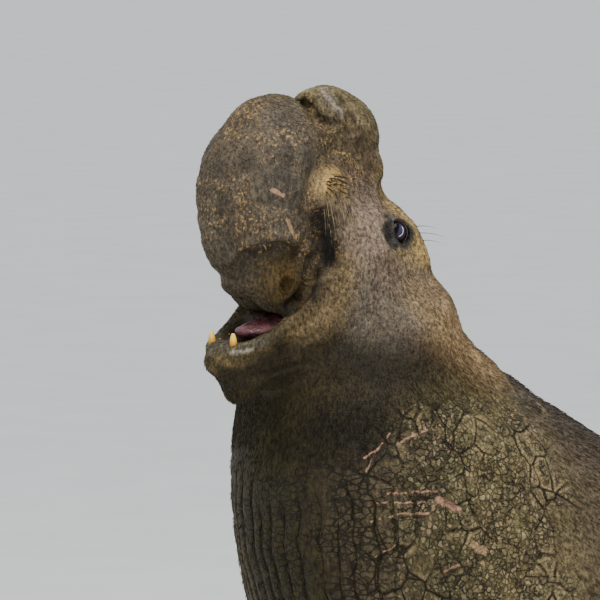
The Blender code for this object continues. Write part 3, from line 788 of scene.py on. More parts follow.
# Old wounds, healed pink and tan: path of (x, side, z) on the skin, half the width. Only the left side has them.
SCARS = (
    (((0.124, 0.276, 0.978), (0.162, 0.306, 0.981), (0.207, 0.331, 0.984)), 0.0038),
    (((0.105, 0.258, 0.958), (0.142, 0.292, 0.960), (0.182, 0.320, 0.964)), 0.0030),
    (((0.103, 0.254, 0.919), (0.142, 0.292, 0.936), (0.189, 0.325, 0.938)), 0.0038),
    (((0.147, 0.278, 1.079), (0.173, 0.290, 1.095), (0.201, 0.300, 1.106)), 0.0036),
    (((0.095, 0.243, 1.022), (0.113, 0.253, 1.069)), 0.0030),
    (((0.208, 0.333, 0.970), (0.242, 0.351, 0.945)), 0.0100),
    (((0.272, 0.368, 0.874), (0.288, 0.376, 0.862)), 0.0100),
    (((0.215, 0.340, 0.818), (0.243, 0.357, 0.834)), 0.0040),
    (((0.092, 0.240, 1.051), (0.110, 0.260, 1.069), (0.127, 0.278, 1.101)), 0.0030),
    (((0.107, 0.257, 0.848), (0.140, 0.287, 0.872)), 0.0030),
    (((-0.052, 0.121, 1.592), (-0.028, 0.128, 1.581)), 0.0062),
    (((-0.018, 0.127, 1.531), (0.004, 0.116, 1.497)), 0.0058),
)


def laid(surface, marks, steps=4):
    """The marks with their paths laid on the skin: x, side and z of points close together."""
    made = []
    for path, *rest in marks:
        curve = smooth_path([place(*point) for point in path], steps)
        dense = [surface.find_nearest(Vector(p))[0] for p in curve]
        made.append(([(p.x - CHEST_FRONT_X, -p.y, p.z) for p in dense], *rest))
    return made


def surface_of(obj):
    return BVHTree.FromPolygons([v.co for v in obj.data.vertices], [tuple(p.vertices) for p in obj.data.polygons])


def scars_on(skin):
    """The scars with their paths laid on the skin. The hide's shader has room for about 20 straight runs in all."""
    return laid(surface_of(skin), SCARS, 1)


def tones(points, surface):
    """The hide's main colour at each point, with the painted shade, sheen and highlights that some patches lay on it.
    """
    colour = np.tile(linear(BASE_COLOUR), (len(points), 1))
    for path, reach, patch_colour, strength in laid(surface, PATCHES):
        for side in (-1, 1):
            amount = stroke(points, on_side(path, side), reach, strength)[:, None]
            colour = colour * (1 - amount) + np.array(linear(patch_colour)) * amount
    return colour


def mouth_amount(points, slack=0.010):
    """1 inside the mouth: within any lobe of its hollow, and behind the lips."""
    total = np.zeros(len(points))
    for centre, semi_axes in MOUTH_LOBES:
        away = (points - np.array(place(*centre))) / (np.array(semi_axes) + slack)
        total = np.maximum(total, 1 - between(np.linalg.norm(away, axis=1), 0.93, 1.06))
    return total * (1 - nose_inside(points))


# Balls that hold the part of the proboscis that hangs before and into the mouth.
NOSE_BALLS = (
    ((0.022, 0.036, 1.403), 0.078),
    ((0.022, -0.036, 1.403), 0.078),
    ((0.000, 0.0, 1.475), 0.118),
    ((0.062, 0.056, 1.472), 0.050),
    ((0.062, -0.056, 1.472), 0.050),
    ((-0.095, 0.0, 1.420), 0.060),
)


def nose_inside(points):
    """1 on the proboscis, where it hangs into the mouth."""
    return np.clip(sum(
        (1 - between(np.linalg.norm((points - np.array(place(*centre))) / reach, axis=1), 0.95, 1.08))
        for centre, reach in NOSE_BALLS
    ), 0, 1)


def mark_hide(obj, surface, at=None):
    """Stores what the hide's material reads, at each point's own place, or at the root it grows from if at is given."""
    points = coords(obj) if at is None else at
    turned = np.abs(turn_of(points))
    number = crease_number(points)
    trunk = near(points, place(0.03, 0, 1.60), 0.30)
    store(obj, "tone", tones(points, surface))
    store(obj, "crease_number", number)
    store(obj, "crease_strength", crease_strength(points, number))
    store(obj, "shield", shield_amount(points))
    store(obj, "celled", between(turned, *CELLED_TURN))
    store(obj, "pebbled", between(turned, *PEBBLED_TURN))
    store(obj, "trunk", between(trunk, 0.05, 0.40))
    store(obj, "mouth", mouth_amount(points))


# The materials, each from nodes alone.


def add_node(tree, kind, links=(), settings=(), inputs=()):
    """Adds a node, sets it, and links (socket of another node, own input) pairs into it."""
    node = tree.nodes.new(kind)
    for name, value in dict(settings).items():
        setattr(node, name, value)
    for name, value in dict(inputs).items():
        node.inputs[name].default_value = value
    for source, name in links:
        tree.links.new(source, node.inputs[name])
    return node


# Noise of scale 1 has lumps about this many metres across.
LUMPS = 0.6


class Recipe:
    """Short words for the sums that a material's nodes make, over one node tree."""

    def __init__(self, tree):
        self.tree = tree

    def sum(self, operation, a, b=None, c=None, clamp=False):
        node = add_node(self.tree, "ShaderNodeMath", settings={"operation": operation, "use_clamp": clamp})
        for index, value in enumerate((a, b, c)):
            if value is None:
                continue
            if isinstance(value, (int, float)):
                node.inputs[index].default_value = value
            else:
                self.tree.links.new(value, node.inputs[index])
        return node.outputs[0]

    def times(self, a, b):
        return self.sum("MULTIPLY", a, b)

    def plus(self, a, b):
        return self.sum("ADD", a, b)

    def from_half(self, value):
        """How far a value is from a half."""
        return self.sum("ABSOLUTE", self.sum("SUBTRACT", value, 0.5))

    def stored(self, name, output="Fac"):
        """What the mesh keeps for each point under name."""
        return add_node(self.tree, "ShaderNodeAttribute", settings={"attribute_name": name}).outputs[output]

    def ramp(self, value, low, high):
        """0 at low and 1 at high, or the other way round where low is the greater."""
        from_to = {"From Min": min(low, high), "From Max": max(low, high)}
        from_to |= {"To Min": float(low > high), "To Max": float(low < high)}
        settings = {"interpolation_type": "SMOOTHSTEP"}
        return add_node(self.tree, "ShaderNodeMapRange", [(value, "Value")], settings, from_to).outputs["Result"]

    def mix(self, amount, a, b, blend="MIX"):
        node = add_node(self.tree, "ShaderNodeMix", settings={"data_type": "RGBA", "blend_type": blend})
        for index, value in ((0, amount), (6, a), (7, b)):
            if isinstance(value, (int, float)):
                node.inputs[index].default_value = value
            elif isinstance(value, tuple):
                node.inputs[index].default_value = (*value, 1)
            else:
                self.tree.links.new(value, node.inputs[index])
        return node.outputs[2]

    def laid_over(self, colour, amount, strength, hex_colour):
        """The colour, with another over it where amount is above 0."""
        return self.mix(self.times(amount, strength), colour, linear(hex_colour))

    def filtered(self, colour, filter_colour):
        return self.mix(1.0, colour, filter_colour, "MULTIPLY")

    def scaled(self, vector, scale):
        node = add_node(self.tree, "ShaderNodeVectorMath", [(vector, 0)], {"operation": "MULTIPLY"})
        node.inputs[1].default_value = scale
        return node.outputs[0]

    def noise(self, vector, size, detail=3.0, roughness=0.55):
        """Noise whose lumps are about size metres across."""
        inputs = {"Scale": LUMPS / size, "Detail": detail, "Roughness": roughness}
        return add_node(self.tree, "ShaderNodeTexNoise", [(vector, "Vector")], inputs=inputs).outputs["Fac"]

    def mottle(self, vector, size, low, high, detail=3.0, roughness=0.55):
        """Patches of 1 among 0, about size metres across."""
        return self.ramp(self.noise(vector, size, detail, roughness), low, high)

    def warped(self, vector, size, amount):
        """The vector, pushed about by noise."""
        inputs = {"Scale": LUMPS / size, "Detail": 2.0}
        noise = add_node(self.tree, "ShaderNodeTexNoise", [(vector, "Vector")], inputs=inputs)
        centred = add_node(self.tree, "ShaderNodeVectorMath", [(noise.outputs["Color"], 0)], {"operation": "SUBTRACT"})
        centred.inputs[1].default_value = (0.5, 0.5, 0.5)
        push = self.scaled(centred.outputs[0], (amount * 2,) * 3)
        return add_node(self.tree, "ShaderNodeVectorMath", [(vector, 0), (push, 1)], {"operation": "ADD"}).outputs[0]

    def cells(self, vector, size, feature="DISTANCE_TO_EDGE", output="Distance"):
        """Cells about size metres across: the way to the nearest edge, or to the middle, as a share of size."""
        inputs = {"Scale": 1 / size}
        node = add_node(self.tree, "ShaderNodeTexVoronoi", [(vector, "Vector")], {"feature": feature}, inputs)
        return node.outputs[output]

    def from_line(self, position, start, end):
        """How far each point is from the straight line between two others."""
        along = Vector(end) - Vector(start)
        offset = add_node(self.tree, "ShaderNodeVectorMath", [(position, 0)], {"operation": "SUBTRACT"})
        offset.inputs[1].default_value = start
        dot = add_node(self.tree, "ShaderNodeVectorMath", [(offset.outputs[0], 0)], {"operation": "DOT_PRODUCT"})
        dot.inputs[1].default_value = along / along.length_squared
        share = self.sum("MULTIPLY", dot.outputs["Value"], 1.0, clamp=True)
        foot = add_node(self.tree, "ShaderNodeVectorMath", [(share, "Scale")], {"operation": "SCALE"})
        foot.inputs[0].default_value = along
        links = [(offset.outputs[0], 0), (foot.outputs[0], 1)]
        return add_node(self.tree, "ShaderNodeVectorMath", links, {"operation": "DISTANCE"}).outputs["Value"]


def cell_coordinates(recipe, position):
    """Where the chest shield's cells lie: warped, and taller than they are wide."""
    return recipe.scaled(recipe.warped(position, 0.05, 0.010), (1.0, 1.0, 0.72))


# Widths of the cells, bricks and pebbles of the chest shield.
CELL_SIZE = 0.046
BRICK_SIZE = 0.025
PEBBLE_SIZE = 0.0090


def new_material(name):
    material = bpy.data.materials.new(name)
    material.use_nodes = True
    tree = material.node_tree
    shader = tree.nodes["Principled BSDF"]
    return material, tree, shader


def finish_surface(tree, shader, colour, roughness, height):
    """Links the colour, the roughness and the relief, given in metres, into the shader."""
    tree.links.new(colour, shader.inputs["Base Color"])
    tree.links.new(roughness, shader.inputs["Roughness"])
    bump = add_node(tree, "ShaderNodeBump", [(height, "Height")], inputs={"Strength": 1.0, "Distance": 1.0})
    tree.links.new(bump.outputs["Normal"], shader.inputs["Normal"])


def hide_material(scars, name="seal_hide", is_coat=False):
    """Weathered seal hide: short flat fur over thick skin, dull and grainy, cracked like bark on the chest shield."""
    material, tree, shader = new_material(name)
    r = Recipe(tree)
    position = add_node(tree, "ShaderNodeTexCoord").outputs["Object"]
    tone = r.stored("tone", "Color")
    shield, trunk = r.stored("shield"), r.stored("trunk")
    mouth = r.stored("mouth")

    # Blotches, then the grain of single hairs and of dried sand among them.
    blotch = r.mottle(position, 0.060, 0.30, 0.70, 4.0)
    grain = r.mottle(r.scaled(position, (1.0, 1.0, 0.45)), 0.0036, 0.25, 0.75, 2.0, 0.7)
    speck = r.mottle(position, 0.0065, 0.55, 0.70, 3.0, 0.6)
    colour = r.mix(r.times(blotch, 0.50), tone, r.filtered(tone, linear("#8d7f6b")))
    colour = r.mix(0.80, colour, r.mix(grain, linear("#55504a"), linear("#efe7d6")), "OVERLAY")
    pale = r.filtered(tone, (2.3, 2.0, 1.5))
    colour = r.mix(r.times(speck, 0.40), colour, pale)

    # The shield: cells of bark on the breast, then pebbles of tan skin between dark gaps at its sides.
    number = r.stored("crease_number")
    strength = r.stored("crease_strength")
    pebbled = r.stored("pebbled")
    brick_way = r.scaled(r.warped(position, 0.020, 0.005), (1.0, 1.0, 1.9))
    brick_edge = r.cells(brick_way, BRICK_SIZE)
    brick = r.times(r.times(r.ramp(brick_edge, 0.130, 0.045), shield), r.mottle(position, 0.05, 0.36, 0.50, 2.0))
    colour = r.laid_over(colour, brick, 0.88, "#0d0a05")
    pebble_way = r.scaled(r.warped(r.warped(position, 0.030, 0.007), 0.008, 0.0032), (1.0, 1.0, 0.80))
    pebble = r.ramp(r.cells(pebble_way, PEBBLE_SIZE), 0.02, 0.20)
    patchy = r.times(r.times(shield, pebbled), r.mottle(position, 0.11, 0.18, 0.34))
    own_shade = r.ramp(r.cells(pebble_way, PEBBLE_SIZE, "F1", "Color"), 0.38, 0.80)
    tan_or_moss = r.mix(r.mottle(position, 0.055, 0.42, 0.58), linear("#767453"), linear("#8b7a5e"))
    pebble_colour = r.mix(own_shade, r.filtered(tone, (0.62, 0.62, 0.55)), tan_or_moss)
    colour = r.mix(r.times(r.times(patchy, pebble), 0.52), colour, pebble_colour)
    gap = r.times(r.times(r.sum("SUBTRACT", 1.0, pebble), patchy), r.mottle(position, 0.022, 0.35, 0.50, 2.0))
    colour = r.laid_over(colour, gap, 0.64, "#18140a")
    cell_edge = r.cells(cell_coordinates(r, position), CELL_SIZE)
    broken = r.mottle(position, 0.070, 0.40, 0.54, 2.0)
    in_cells = r.times(r.times(shield, r.stored("celled")), broken)
    pale_edge = r.times(r.times(r.ramp(cell_edge, 0.045, 0.10), r.ramp(cell_edge, 0.24, 0.12)), in_cells)
    pale_edge = r.times(r.times(pale_edge, pebbled), r.mottle(position, 0.09, 0.45, 0.57, 2.0))
    colour = r.laid_over(colour, pale_edge, 0.55, "#94805c")
    crack = r.times(r.ramp(cell_edge, 0.052, 0.010), in_cells)
    colour = r.laid_over(colour, crack, 0.92, "#120e06")

    # The long creases of the chest, thin and black at the bottom.
    off_course = r.sum("SUBTRACT", r.noise(position, 0.026, 3.0), 0.5)
    wandering = r.sum("MULTIPLY_ADD", off_course, 0.55, r.plus(number, 0.5))
    away = r.from_half(r.sum("FRACT", wandering))
    line = r.times(r.ramp(away, 0.070, 0.018), strength)
    colour = r.laid_over(colour, line, 0.95, "#0e0b06")

    # The proboscis: dark stains, golden specks and fine pale scratches from old bites.
    stain = r.times(trunk, r.mottle(position, 0.032, 0.50, 0.60, 4.0, 0.65))
    colour = r.mix(r.times(stain, 0.55), colour, r.filtered(tone, (0.42, 0.40, 0.36)))
    trunk = r.times(trunk, r.ramp(tone, 0.008, 0.020))
    gold_here = r.times(trunk, r.mottle(position, 0.045, 0.42, 0.62, 2.0))
    gold = r.times(r.mottle(position, 0.0044, 0.52, 0.66, 3.0, 0.7), gold_here)
    colour = r.laid_over(colour, gold, 0.55, "#a5834f")
    scratch_way = r.scaled(r.warped(position, 0.030, 0.020), (2.2, 2.2, 0.55))
    ridge = r.from_half(r.noise(scratch_way, 0.050, 3.0))
    scratch = r.times(r.times(r.ramp(ridge, 0.016, 0.003), r.mottle(position, 0.05, 0.48, 0.60, 1.0)), trunk)
    scratch = r.times(scratch, r.mottle(position, 0.006, 0.42, 0.60, 3.0, 0.7))
    colour = r.laid_over(colour, scratch, 0.55, "#b18a58")

    # The healed scars, and the dark wet lining of the mouth.
    ragged = r.warped(position, 0.010, 0.0045)
    torn = 0.0
    for path, reach in scars:
        for start, end in zip(path, path[1:]):
            away = r.from_line(ragged, place(*start), place(*end))
            torn = r.sum("MAXIMUM", torn, r.ramp(away, reach, reach * 0.4))
    torn = r.times(torn, r.mottle(position, 0.008, 0.24, 0.42, 3.0, 0.7))
    healed = r.mix(r.mottle(position, 0.030, 0.40, 0.60, 2.0), linear("#a08462"), linear("#a67c68"))
    colour = r.mix(r.times(torn, 0.62), colour, healed)
    flesh_colour = r.mix(r.mottle(position, 0.020, 0.35, 0.65), linear("#140b0a"), linear("#38201f"))
    colour = r.mix(mouth, colour, flesh_colour)

    if is_coat:
        # Each tuft is a little lighter or darker than the skin it grows from, and paler at its tip.
        shade = r.stored("shade")
        colour = r.filtered(colour, r.mix(shade, linear("#bdb8af"), linear("#ffffff")))
        colour = r.mix(r.times(r.ramp(shade, 0.80, 1.0), 0.40), colour, pale)
        roughness = r.plus(r.times(grain, 0.10), 0.62)
        height = r.times(grain, 0.0001)
    else:
        dry = r.plus(r.times(grain, 0.14), 0.60)
        roughness = r.sum("MULTIPLY_ADD", mouth, -0.38, dry)
        wrinkle_way = r.scaled(r.warped(position, 0.040, 0.012), (1.0, 1.0, 1.6))
        wrinkle = r.from_half(r.noise(wrinkle_way, 0.028, 3.0))
        height = r.times(grain, 0.0007)
        height = r.plus(height, r.times(r.ramp(wrinkle, 0.0, 0.06), 0.0010))
        height = r.plus(height, r.times(r.times(pebble, patchy), 0.0020))
        height = r.sum("MULTIPLY_ADD", brick, -0.0026, height)
        height = r.plus(height, r.times(speck, 0.0005))
        height = r.sum("MULTIPLY_ADD", crack, -0.0040, height)
        height = r.sum("MULTIPLY_ADD", line, -0.0050, height)
        height = r.sum("MULTIPLY_ADD", torn, 0.0012, height)
        height = r.sum("MULTIPLY_ADD", scratch, -0.0006, height)
    finish_surface(tree, shader, colour, roughness, height)
    shader.inputs["Sheen Weight"].default_value = 0.05
    shader.inputs["Sheen Roughness"].default_value = 0.5
    shader.inputs["Sheen Tint"].default_value = (*linear("#cdbf9f"), 1)
    shader.inputs["Specular IOR Level"].default_value = 0.14
    return material


def eye_material():
    """The wet, nearly black eye of a diving seal: a dark brown iris round a pupil coloured with painted reflection and
    painted shade.
    """
    material, tree, shader = new_material("wet_eye")
    r = Recipe(tree)
    tone = r.stored("from_pupil")
    position = add_node(tree, "ShaderNodeTexCoord").outputs["Object"]
    streak = r.noise(position, 0.0016, 3.0)
    iris = r.mix(r.ramp(streak, 0.35, 0.65), linear("#0e0a08"), linear("#241a14"))
    # The pupil carries painted light: a bluish painted reflection on the side away from the nose, painted shade in
    # black towards it, and a pale crescent of painted reflection at its far edge.
    to_tail = r.stored("to_tail")
    pupil = r.mix(r.ramp(to_tail, -0.34, -0.16), linear("#050506"), linear("#312b44"))
    painted_crescent_reflection = r.times(r.times(r.ramp(tone, 0.39, 0.42), r.ramp(tone, 0.48, 0.45)), r.ramp(to_tail, -0.12, 0.02))
    colour = r.mix(r.ramp(tone, 0.42, 0.50), pupil, iris)
    colour = r.laid_over(colour, painted_crescent_reflection, 0.75, "#ddd8e6")
    colour = r.mix(r.ramp(tone, 0.80, 0.92), colour, linear("#1d1714"))
    tree.links.new(colour, shader.inputs["Base Color"])
    shader.inputs["Roughness"].default_value = 0.08
    shader.inputs["IOR"].default_value = 1.376
    shader.inputs["Specular IOR Level"].default_value = 0.15
    return material


def tongue_material():
    """A soft moist tongue, dull maroon, with fine bumps all over."""
    material, tree, shader = new_material("tongue_flesh")
    r = Recipe(tree)
    position = add_node(tree, "ShaderNodeTexCoord").outputs["Object"]
    bud = r.ramp(r.cells(position, 0.0035, "F1"), 0.65, 0.10)
    blotch = r.mottle(position, 0.018, 0.35, 0.65)
    colour = r.mix(blotch, linear("#341c1f"), linear("#583033"))
    colour = r.laid_over(colour, bud, 0.30, "#8a5556")
    finish_surface(tree, shader, colour, r.plus(r.times(blotch, 0.15), 0.28), r.times(bud, 0.0008))
    shader.inputs["Subsurface Weight"].default_value = 0.15
    shader.inputs["Subsurface Radius"].default_value = (0.010, 0.003, 0.002)
    return material


def tooth_material():
    """Old stained enamel: glossy, ivory at the tip and amber brown towards the gum."""
    material, tree, shader = new_material("stained_enamel")
    r = Recipe(tree)
    position = add_node(tree, "ShaderNodeTexCoord").outputs["Object"]
    stain = r.mottle(r.scaled(position, (1.0, 1.0, 0.4)), 0.006, 0.35, 0.70)
    tip = r.stored("towards_tip")
    colour = r.mix(r.ramp(tip, 0.45, 1.0), linear("#a06a00"), linear("#e2bb48"))
    colour = r.laid_over(colour, stain, 0.30, "#80551b")
    finish_surface(tree, shader, colour, r.plus(r.times(stain, 0.20), 0.26), r.times(stain, 0.0002))
    shader.inputs["Specular IOR Level"].default_value = 0.3
    return material


def claw_material():
    """Worn horn: dark grey brown with long grain and a paler, scuffed tip."""
    material, tree, shader = new_material("claw_horn")
    r = Recipe(tree)
    position = add_node(tree, "ShaderNodeTexCoord").outputs["Object"]
    fibre = r.noise(r.scaled(position, (1.0, 0.25, 1.0)), 0.0022, 3.0)
    tip = r.stored("towards_tip")
    colour = r.mix(r.ramp(fibre, 0.35, 0.65), linear("#2b241d"), linear("#4d4234"))
    colour = r.mix(r.times(r.ramp(tip, 0.6, 1.0), 0.6), colour, linear("#80725c"))
    finish_surface(tree, shader, colour, r.plus(r.times(fibre, 0.25), 0.30), r.times(fibre, 0.0004))
    return material


def whisker_material():
    """Stiff whisker horn, brown black and slightly shiny, with paler patches on the hanging whiskers that are painted
    sheen.
    """
    material, tree, shader = new_material("whisker_horn")
    r = Recipe(tree)
    position = add_node(tree, "ShaderNodeTexCoord").outputs["Object"]
    # Painted sheen: paler patches on the hanging whiskers.
    worn = r.times(r.mottle(position, 0.010, 0.35, 0.65, 2.0), r.stored("pale"))
    colour = r.mix(worn, linear("#110d0a"), linear("#7d6f55"))
    tree.links.new(colour, shader.inputs["Base Color"])
    shader.inputs["Roughness"].default_value = 0.5
    shader.inputs["Specular IOR Level"].default_value = 0.2
    return material


def floor_material():
    """Pale matte studio floor, painted board with a very faint roller mottle."""
    material, tree, shader = new_material("studio_floor")
    r = Recipe(tree)
    position = add_node(tree, "ShaderNodeTexCoord").outputs["Object"]
    mottle = r.mottle(position, 0.25, 0.3, 0.7)
    colour = r.mix(mottle, linear("#e4e3e0"), linear("#e9e8e5"))
    finish_surface(tree, shader, colour, r.plus(r.times(mottle, 0.05), 0.80), r.times(mottle, 0.0004))
    return material


# The pieces.


def field_from_nodes(obj, name, build):
    """One number for each point of the mesh, from the nodes that build adds, as the material works it out."""
    tree = bpy.data.node_groups.new(name, "GeometryNodeTree")
    tree.interface.new_socket("Geometry", in_out="INPUT", socket_type="NodeSocketGeometry")
    tree.interface.new_socket("Geometry", in_out="OUTPUT", socket_type="NodeSocketGeometry")
    mesh_in, mesh_out = tree.nodes.new("NodeGroupInput"), tree.nodes.new("NodeGroupOutput")
    recipe = Recipe(tree)
    value = build(recipe, tree.nodes.new("GeometryNodeInputPosition").outputs[0])
    keep = add_node(tree, "GeometryNodeStoreNamedAttribute", [(mesh_in.outputs[0], "Geometry"), (value, "Value")])
    keep.inputs["Name"].default_value = name
    tree.links.new(keep.outputs[0], mesh_out.inputs[0])
    modifier = obj.modifiers.new(name, "NODES")
    modifier.node_group = tree
    evaluated(obj)
    values = np.empty(len(obj.data.vertices), np.float32)
    obj.data.attributes[name].data.foreach_get("value", values)
    obj.data.attributes.remove(obj.data.attributes[name])
    return values.astype(float)


def refine(obj, centre, reach):
    """Splits each face near centre into four."""
    bm = bmesh.new()
    bm.from_mesh(obj.data)
    points = coords(obj)
    close = np.linalg.norm(points - np.array(centre), axis=1) < reach
    edges = [e for e in bm.edges if close[e.verts[0].index] and close[e.verts[1].index]]
    bmesh.ops.subdivide_edges(bm, edges=edges, cuts=1, use_grid_fill=True)
    bmesh.ops.triangulate(bm, faces=[f for f in bm.faces if len(f.verts) > 4])
    bm.to_mesh(obj.data)
    bm.free()


HEAD_MIDDLE = (0.12, 0, 1.48)
HEAD_REACH = 0.40

# Finer folds than the solids carry: path of (x, side, z), reach, lift.
SKIN_FOLDS = (
    # Lids: a crease above each eye, the pouch below it, and the brow that lies lower than the back of the head.
    (((0.222, 0.132, 1.528), (0.248, 0.12, 1.536), (0.282, 0.112, 1.527)), 0.009, -0.003),
    (((0.207, 0.148, 1.502), (0.213, 0.152, 1.488), (0.222, 0.153, 1.475), (0.24, 0.149, 1.468)), 0.0085, -0.005),
    (((0.226, 0.14, 1.511), (0.228, 0.145, 1.499), (0.234, 0.147, 1.487)), 0.016, -0.007),
    (((0.2, 0.15, 1.495), (0.21, 0.154, 1.472), (0.24, 0.15, 1.456), (0.275, 0.138, 1.458)), 0.01, 0.0025),
    (((0.262, 0.07, 1.575), (0.279, 0.085, 1.552), (0.29, 0.095, 1.537)), 0.045, -0.009),
    (((0.318, 0.095, 1.49), (0.335, 0.105, 1.44)), 0.05, 0.006),
    # Folds from the whisker pad back over the cheek.
    (((0.15, 0.12, 1.6), (0.165, 0.125, 1.56), (0.16, 0.13, 1.52)), 0.012, -0.004),
    (((0.175, 0.118, 1.61), (0.19, 0.125, 1.56), (0.185, 0.135, 1.5)), 0.014, -0.003),
    (((0.12, 0.135, 1.48), (0.13, 0.14, 1.44), (0.12, 0.142, 1.4)), 0.012, -0.003),
    # The slack throat under the chin.
    (((-0.05, 0.0, 1.16), (-0.04, 0.05, 1.15)), 0.06, 0.013),
    (((-0.06, 0.0, 1.19), (-0.05, 0.04, 1.19)), 0.03, 0.006),
    (((-0.119, 0.0, 1.244), (-0.112, 0.02, 1.235)), 0.035, 0.006),
    # The rolls of the lower lip and the chin.
    (((-0.085, 0.055, 1.238), (-0.04, 0.09, 1.248), (0.02, 0.115, 1.272), (0.06, 0.128, 1.3)), 0.012, -0.0045),
    (((-0.06, 0.07, 1.205), (-0.01, 0.095, 1.215), (0.04, 0.12, 1.235)), 0.013, -0.004),
    (((0.0, 0.11, 1.3), (0.05, 0.125, 1.33), (0.08, 0.13, 1.38)), 0.012, -0.003),
    # The deep fold between the lobe and the hump, the fold along the hump, and the saddle between them.
    (
        ((0.112, 0.0, 1.76), (0.1, 0.043, 1.744), (0.103, 0.059, 1.732), (0.113, 0.07, 1.724), (0.128, 0.081, 1.719)),
        0.015, -0.013,
    ),
    (((0.153, 0.034, 1.792), (0.153, 0.071, 1.768), (0.162, 0.09, 1.734), (0.17, 0.094, 1.705)), 0.014, -0.009),
    (((0.134, 0.03, 1.788), (0.121, 0.07, 1.753), (0.133, 0.088, 1.733)), 0.022, -0.006),
    (((0.138, 0.08, 1.745), (0.148, 0.092, 1.715)), 0.014, 0.004),
    # The top of the lobe stands a little higher, and the hump falls away behind.
    (((-0.02, 0.0, 1.76), (0.03, 0.0, 1.775), (0.07, 0.0, 1.77)), 0.085, 0.009),
    (((0.235, 0.0, 1.78), (0.262, 0.0, 1.745)), 0.08, -0.009),
    # The shade under the hump.
    (((0.075, 0.11, 1.67), (0.14, 0.115, 1.675), (0.19, 0.105, 1.665)), 0.034, -0.007),
    # The rolled rim of the lobe over the tip, with the fold under it.
    (((-0.128, 0.0, 1.485), (-0.118, 0.0, 1.447)), 0.05, 0.011),
    (((-0.105, 0.0, 1.412), (-0.085, 0.01, 1.388)), 0.05, 0.008),
    (((-0.095, 0.03, 1.44), (-0.08, 0.08, 1.482), (-0.042, 0.11, 1.498), (0.02, 0.11, 1.488)), 0.02, 0.006),
    (
        (
            (-0.077, 0.019, 1.412), (-0.083, 0.067, 1.46), (-0.041, 0.106, 1.476), (-0.009, 0.107, 1.471),
            (0.031, 0.091, 1.459),
        ),
        0.015, -0.011,
    ),
    # The gap between the tip and the cheek, down to the corner of the mouth.
    (
        (
            (0.068, 0.096, 1.449), (0.053, 0.102, 1.408), (0.039, 0.105, 1.384), (0.023, 0.1, 1.364),
            (0.009, 0.087, 1.345),
        ),
        0.017, -0.02,
    ),
    # The hollow between the lobe and the whisker pad.
    (((0.082, 0.106, 1.45), (0.08, 0.103, 1.496), (0.072, 0.108, 1.53)), 0.026, -0.016),
    # Slack folds across the lobe.
    (((-0.12, 0.03, 1.53), (-0.08, 0.1, 1.56), (-0.02, 0.13, 1.56), (0.03, 0.122, 1.545)), 0.02, -0.003),
    (((-0.115, 0.03, 1.61), (-0.07, 0.1, 1.64), (-0.01, 0.125, 1.64), (0.04, 0.118, 1.615)), 0.024, -0.0028),
    # Small creases that gather where the lobe, the pad and the hollow meet.
    (((0.05, 0.122, 1.535), (0.022, 0.127, 1.558), (0.004, 0.13, 1.582)), 0.009, -0.0038),
    (((0.05, 0.12, 1.53), (0.018, 0.127, 1.538), (-0.006, 0.13, 1.55)), 0.008, -0.0034),
    (((0.05, 0.118, 1.522), (0.018, 0.125, 1.508), (0.006, 0.125, 1.482)), 0.009, -0.0036),
    # Rolls over the nape and down the side of the neck.
    (((0.475, 0.0, 1.305), (0.46, 0.15, 1.262), (0.42, 0.25, 1.19)), 0.028, -0.008),
    (((0.54, 0.0, 1.245), (0.525, 0.16, 1.205), (0.49, 0.27, 1.12)), 0.034, -0.007),
    (((0.625, 0.0, 1.18), (0.61, 0.18, 1.135), (0.58, 0.3, 1.03)), 0.04, -0.006),
    # Behind the arm, in front of it, and round the rump.
    (((1.0, 0.44, 0.52), (0.96, 0.49, 0.36), (0.98, 0.49, 0.2), (1.04, 0.44, 0.08)), 0.05, -0.013),
    (((0.58, 0.42, 0.4), (0.56, 0.44, 0.28), (0.56, 0.4, 0.18)), 0.045, -0.01),
    (((1.1, 0.45, 0.58), (1.07, 0.51, 0.38), (1.1, 0.5, 0.18)), 0.05, -0.008),
    (((2.9, 0.0, 0.5), (2.88, 0.2, 0.44), (2.86, 0.28, 0.25)), 0.05, -0.007),
    (((3.06, 0.0, 0.4), (3.05, 0.15, 0.33), (3.04, 0.2, 0.18)), 0.045, -0.008),
    (((3.18, 0.0, 0.3), (3.17, 0.1, 0.25), (3.17, 0.14, 0.14)), 0.035, -0.007),
)


def swells_of_fat(points):
    """The slow uneven heave of blubber under the hide, along the body."""
    x, y, z = points.T
    heave = np.sin(5.1 * x + 3 * z) * np.sin(4.3 * z + 2 * y + 1) + 0.5 * np.sin(11 * x - 4 * z + 5 * y)
    return 0.0035 * heave * between(x - CHEST_FRONT_X, 0.2, 0.8) * between(z, 0.04, 0.20)


def crack_depth(obj):
    """How far each point of the hide is lowered by the chest's creases and by the cracks between its cells."""
    points = coords(obj)
    number = crease_number(points)
    away = np.abs(number - np.round(number)) * CREASE_SPACING
    bottom, slopes = (depth * np.exp(-((away / half) ** 2)) for depth, half in (CREASE_BOTTOM, CREASE_SLOPES))
    crease = bottom + slopes
    edge = field_from_nodes(
        obj, "cell_edge", lambda recipe, position: recipe.cells(cell_coordinates(recipe, position), CELL_SIZE)
    )
    crack = CRACK_DEPTH * np.exp(-((edge / 0.10) ** 2)) - CELL_RISE * between(edge, 0.0, 0.35)
    turned = between(np.abs(turn_of(points)), *CELLED_TURN)
    return crease * crease_strength(points, number) + crack * shield_amount(points) * turned


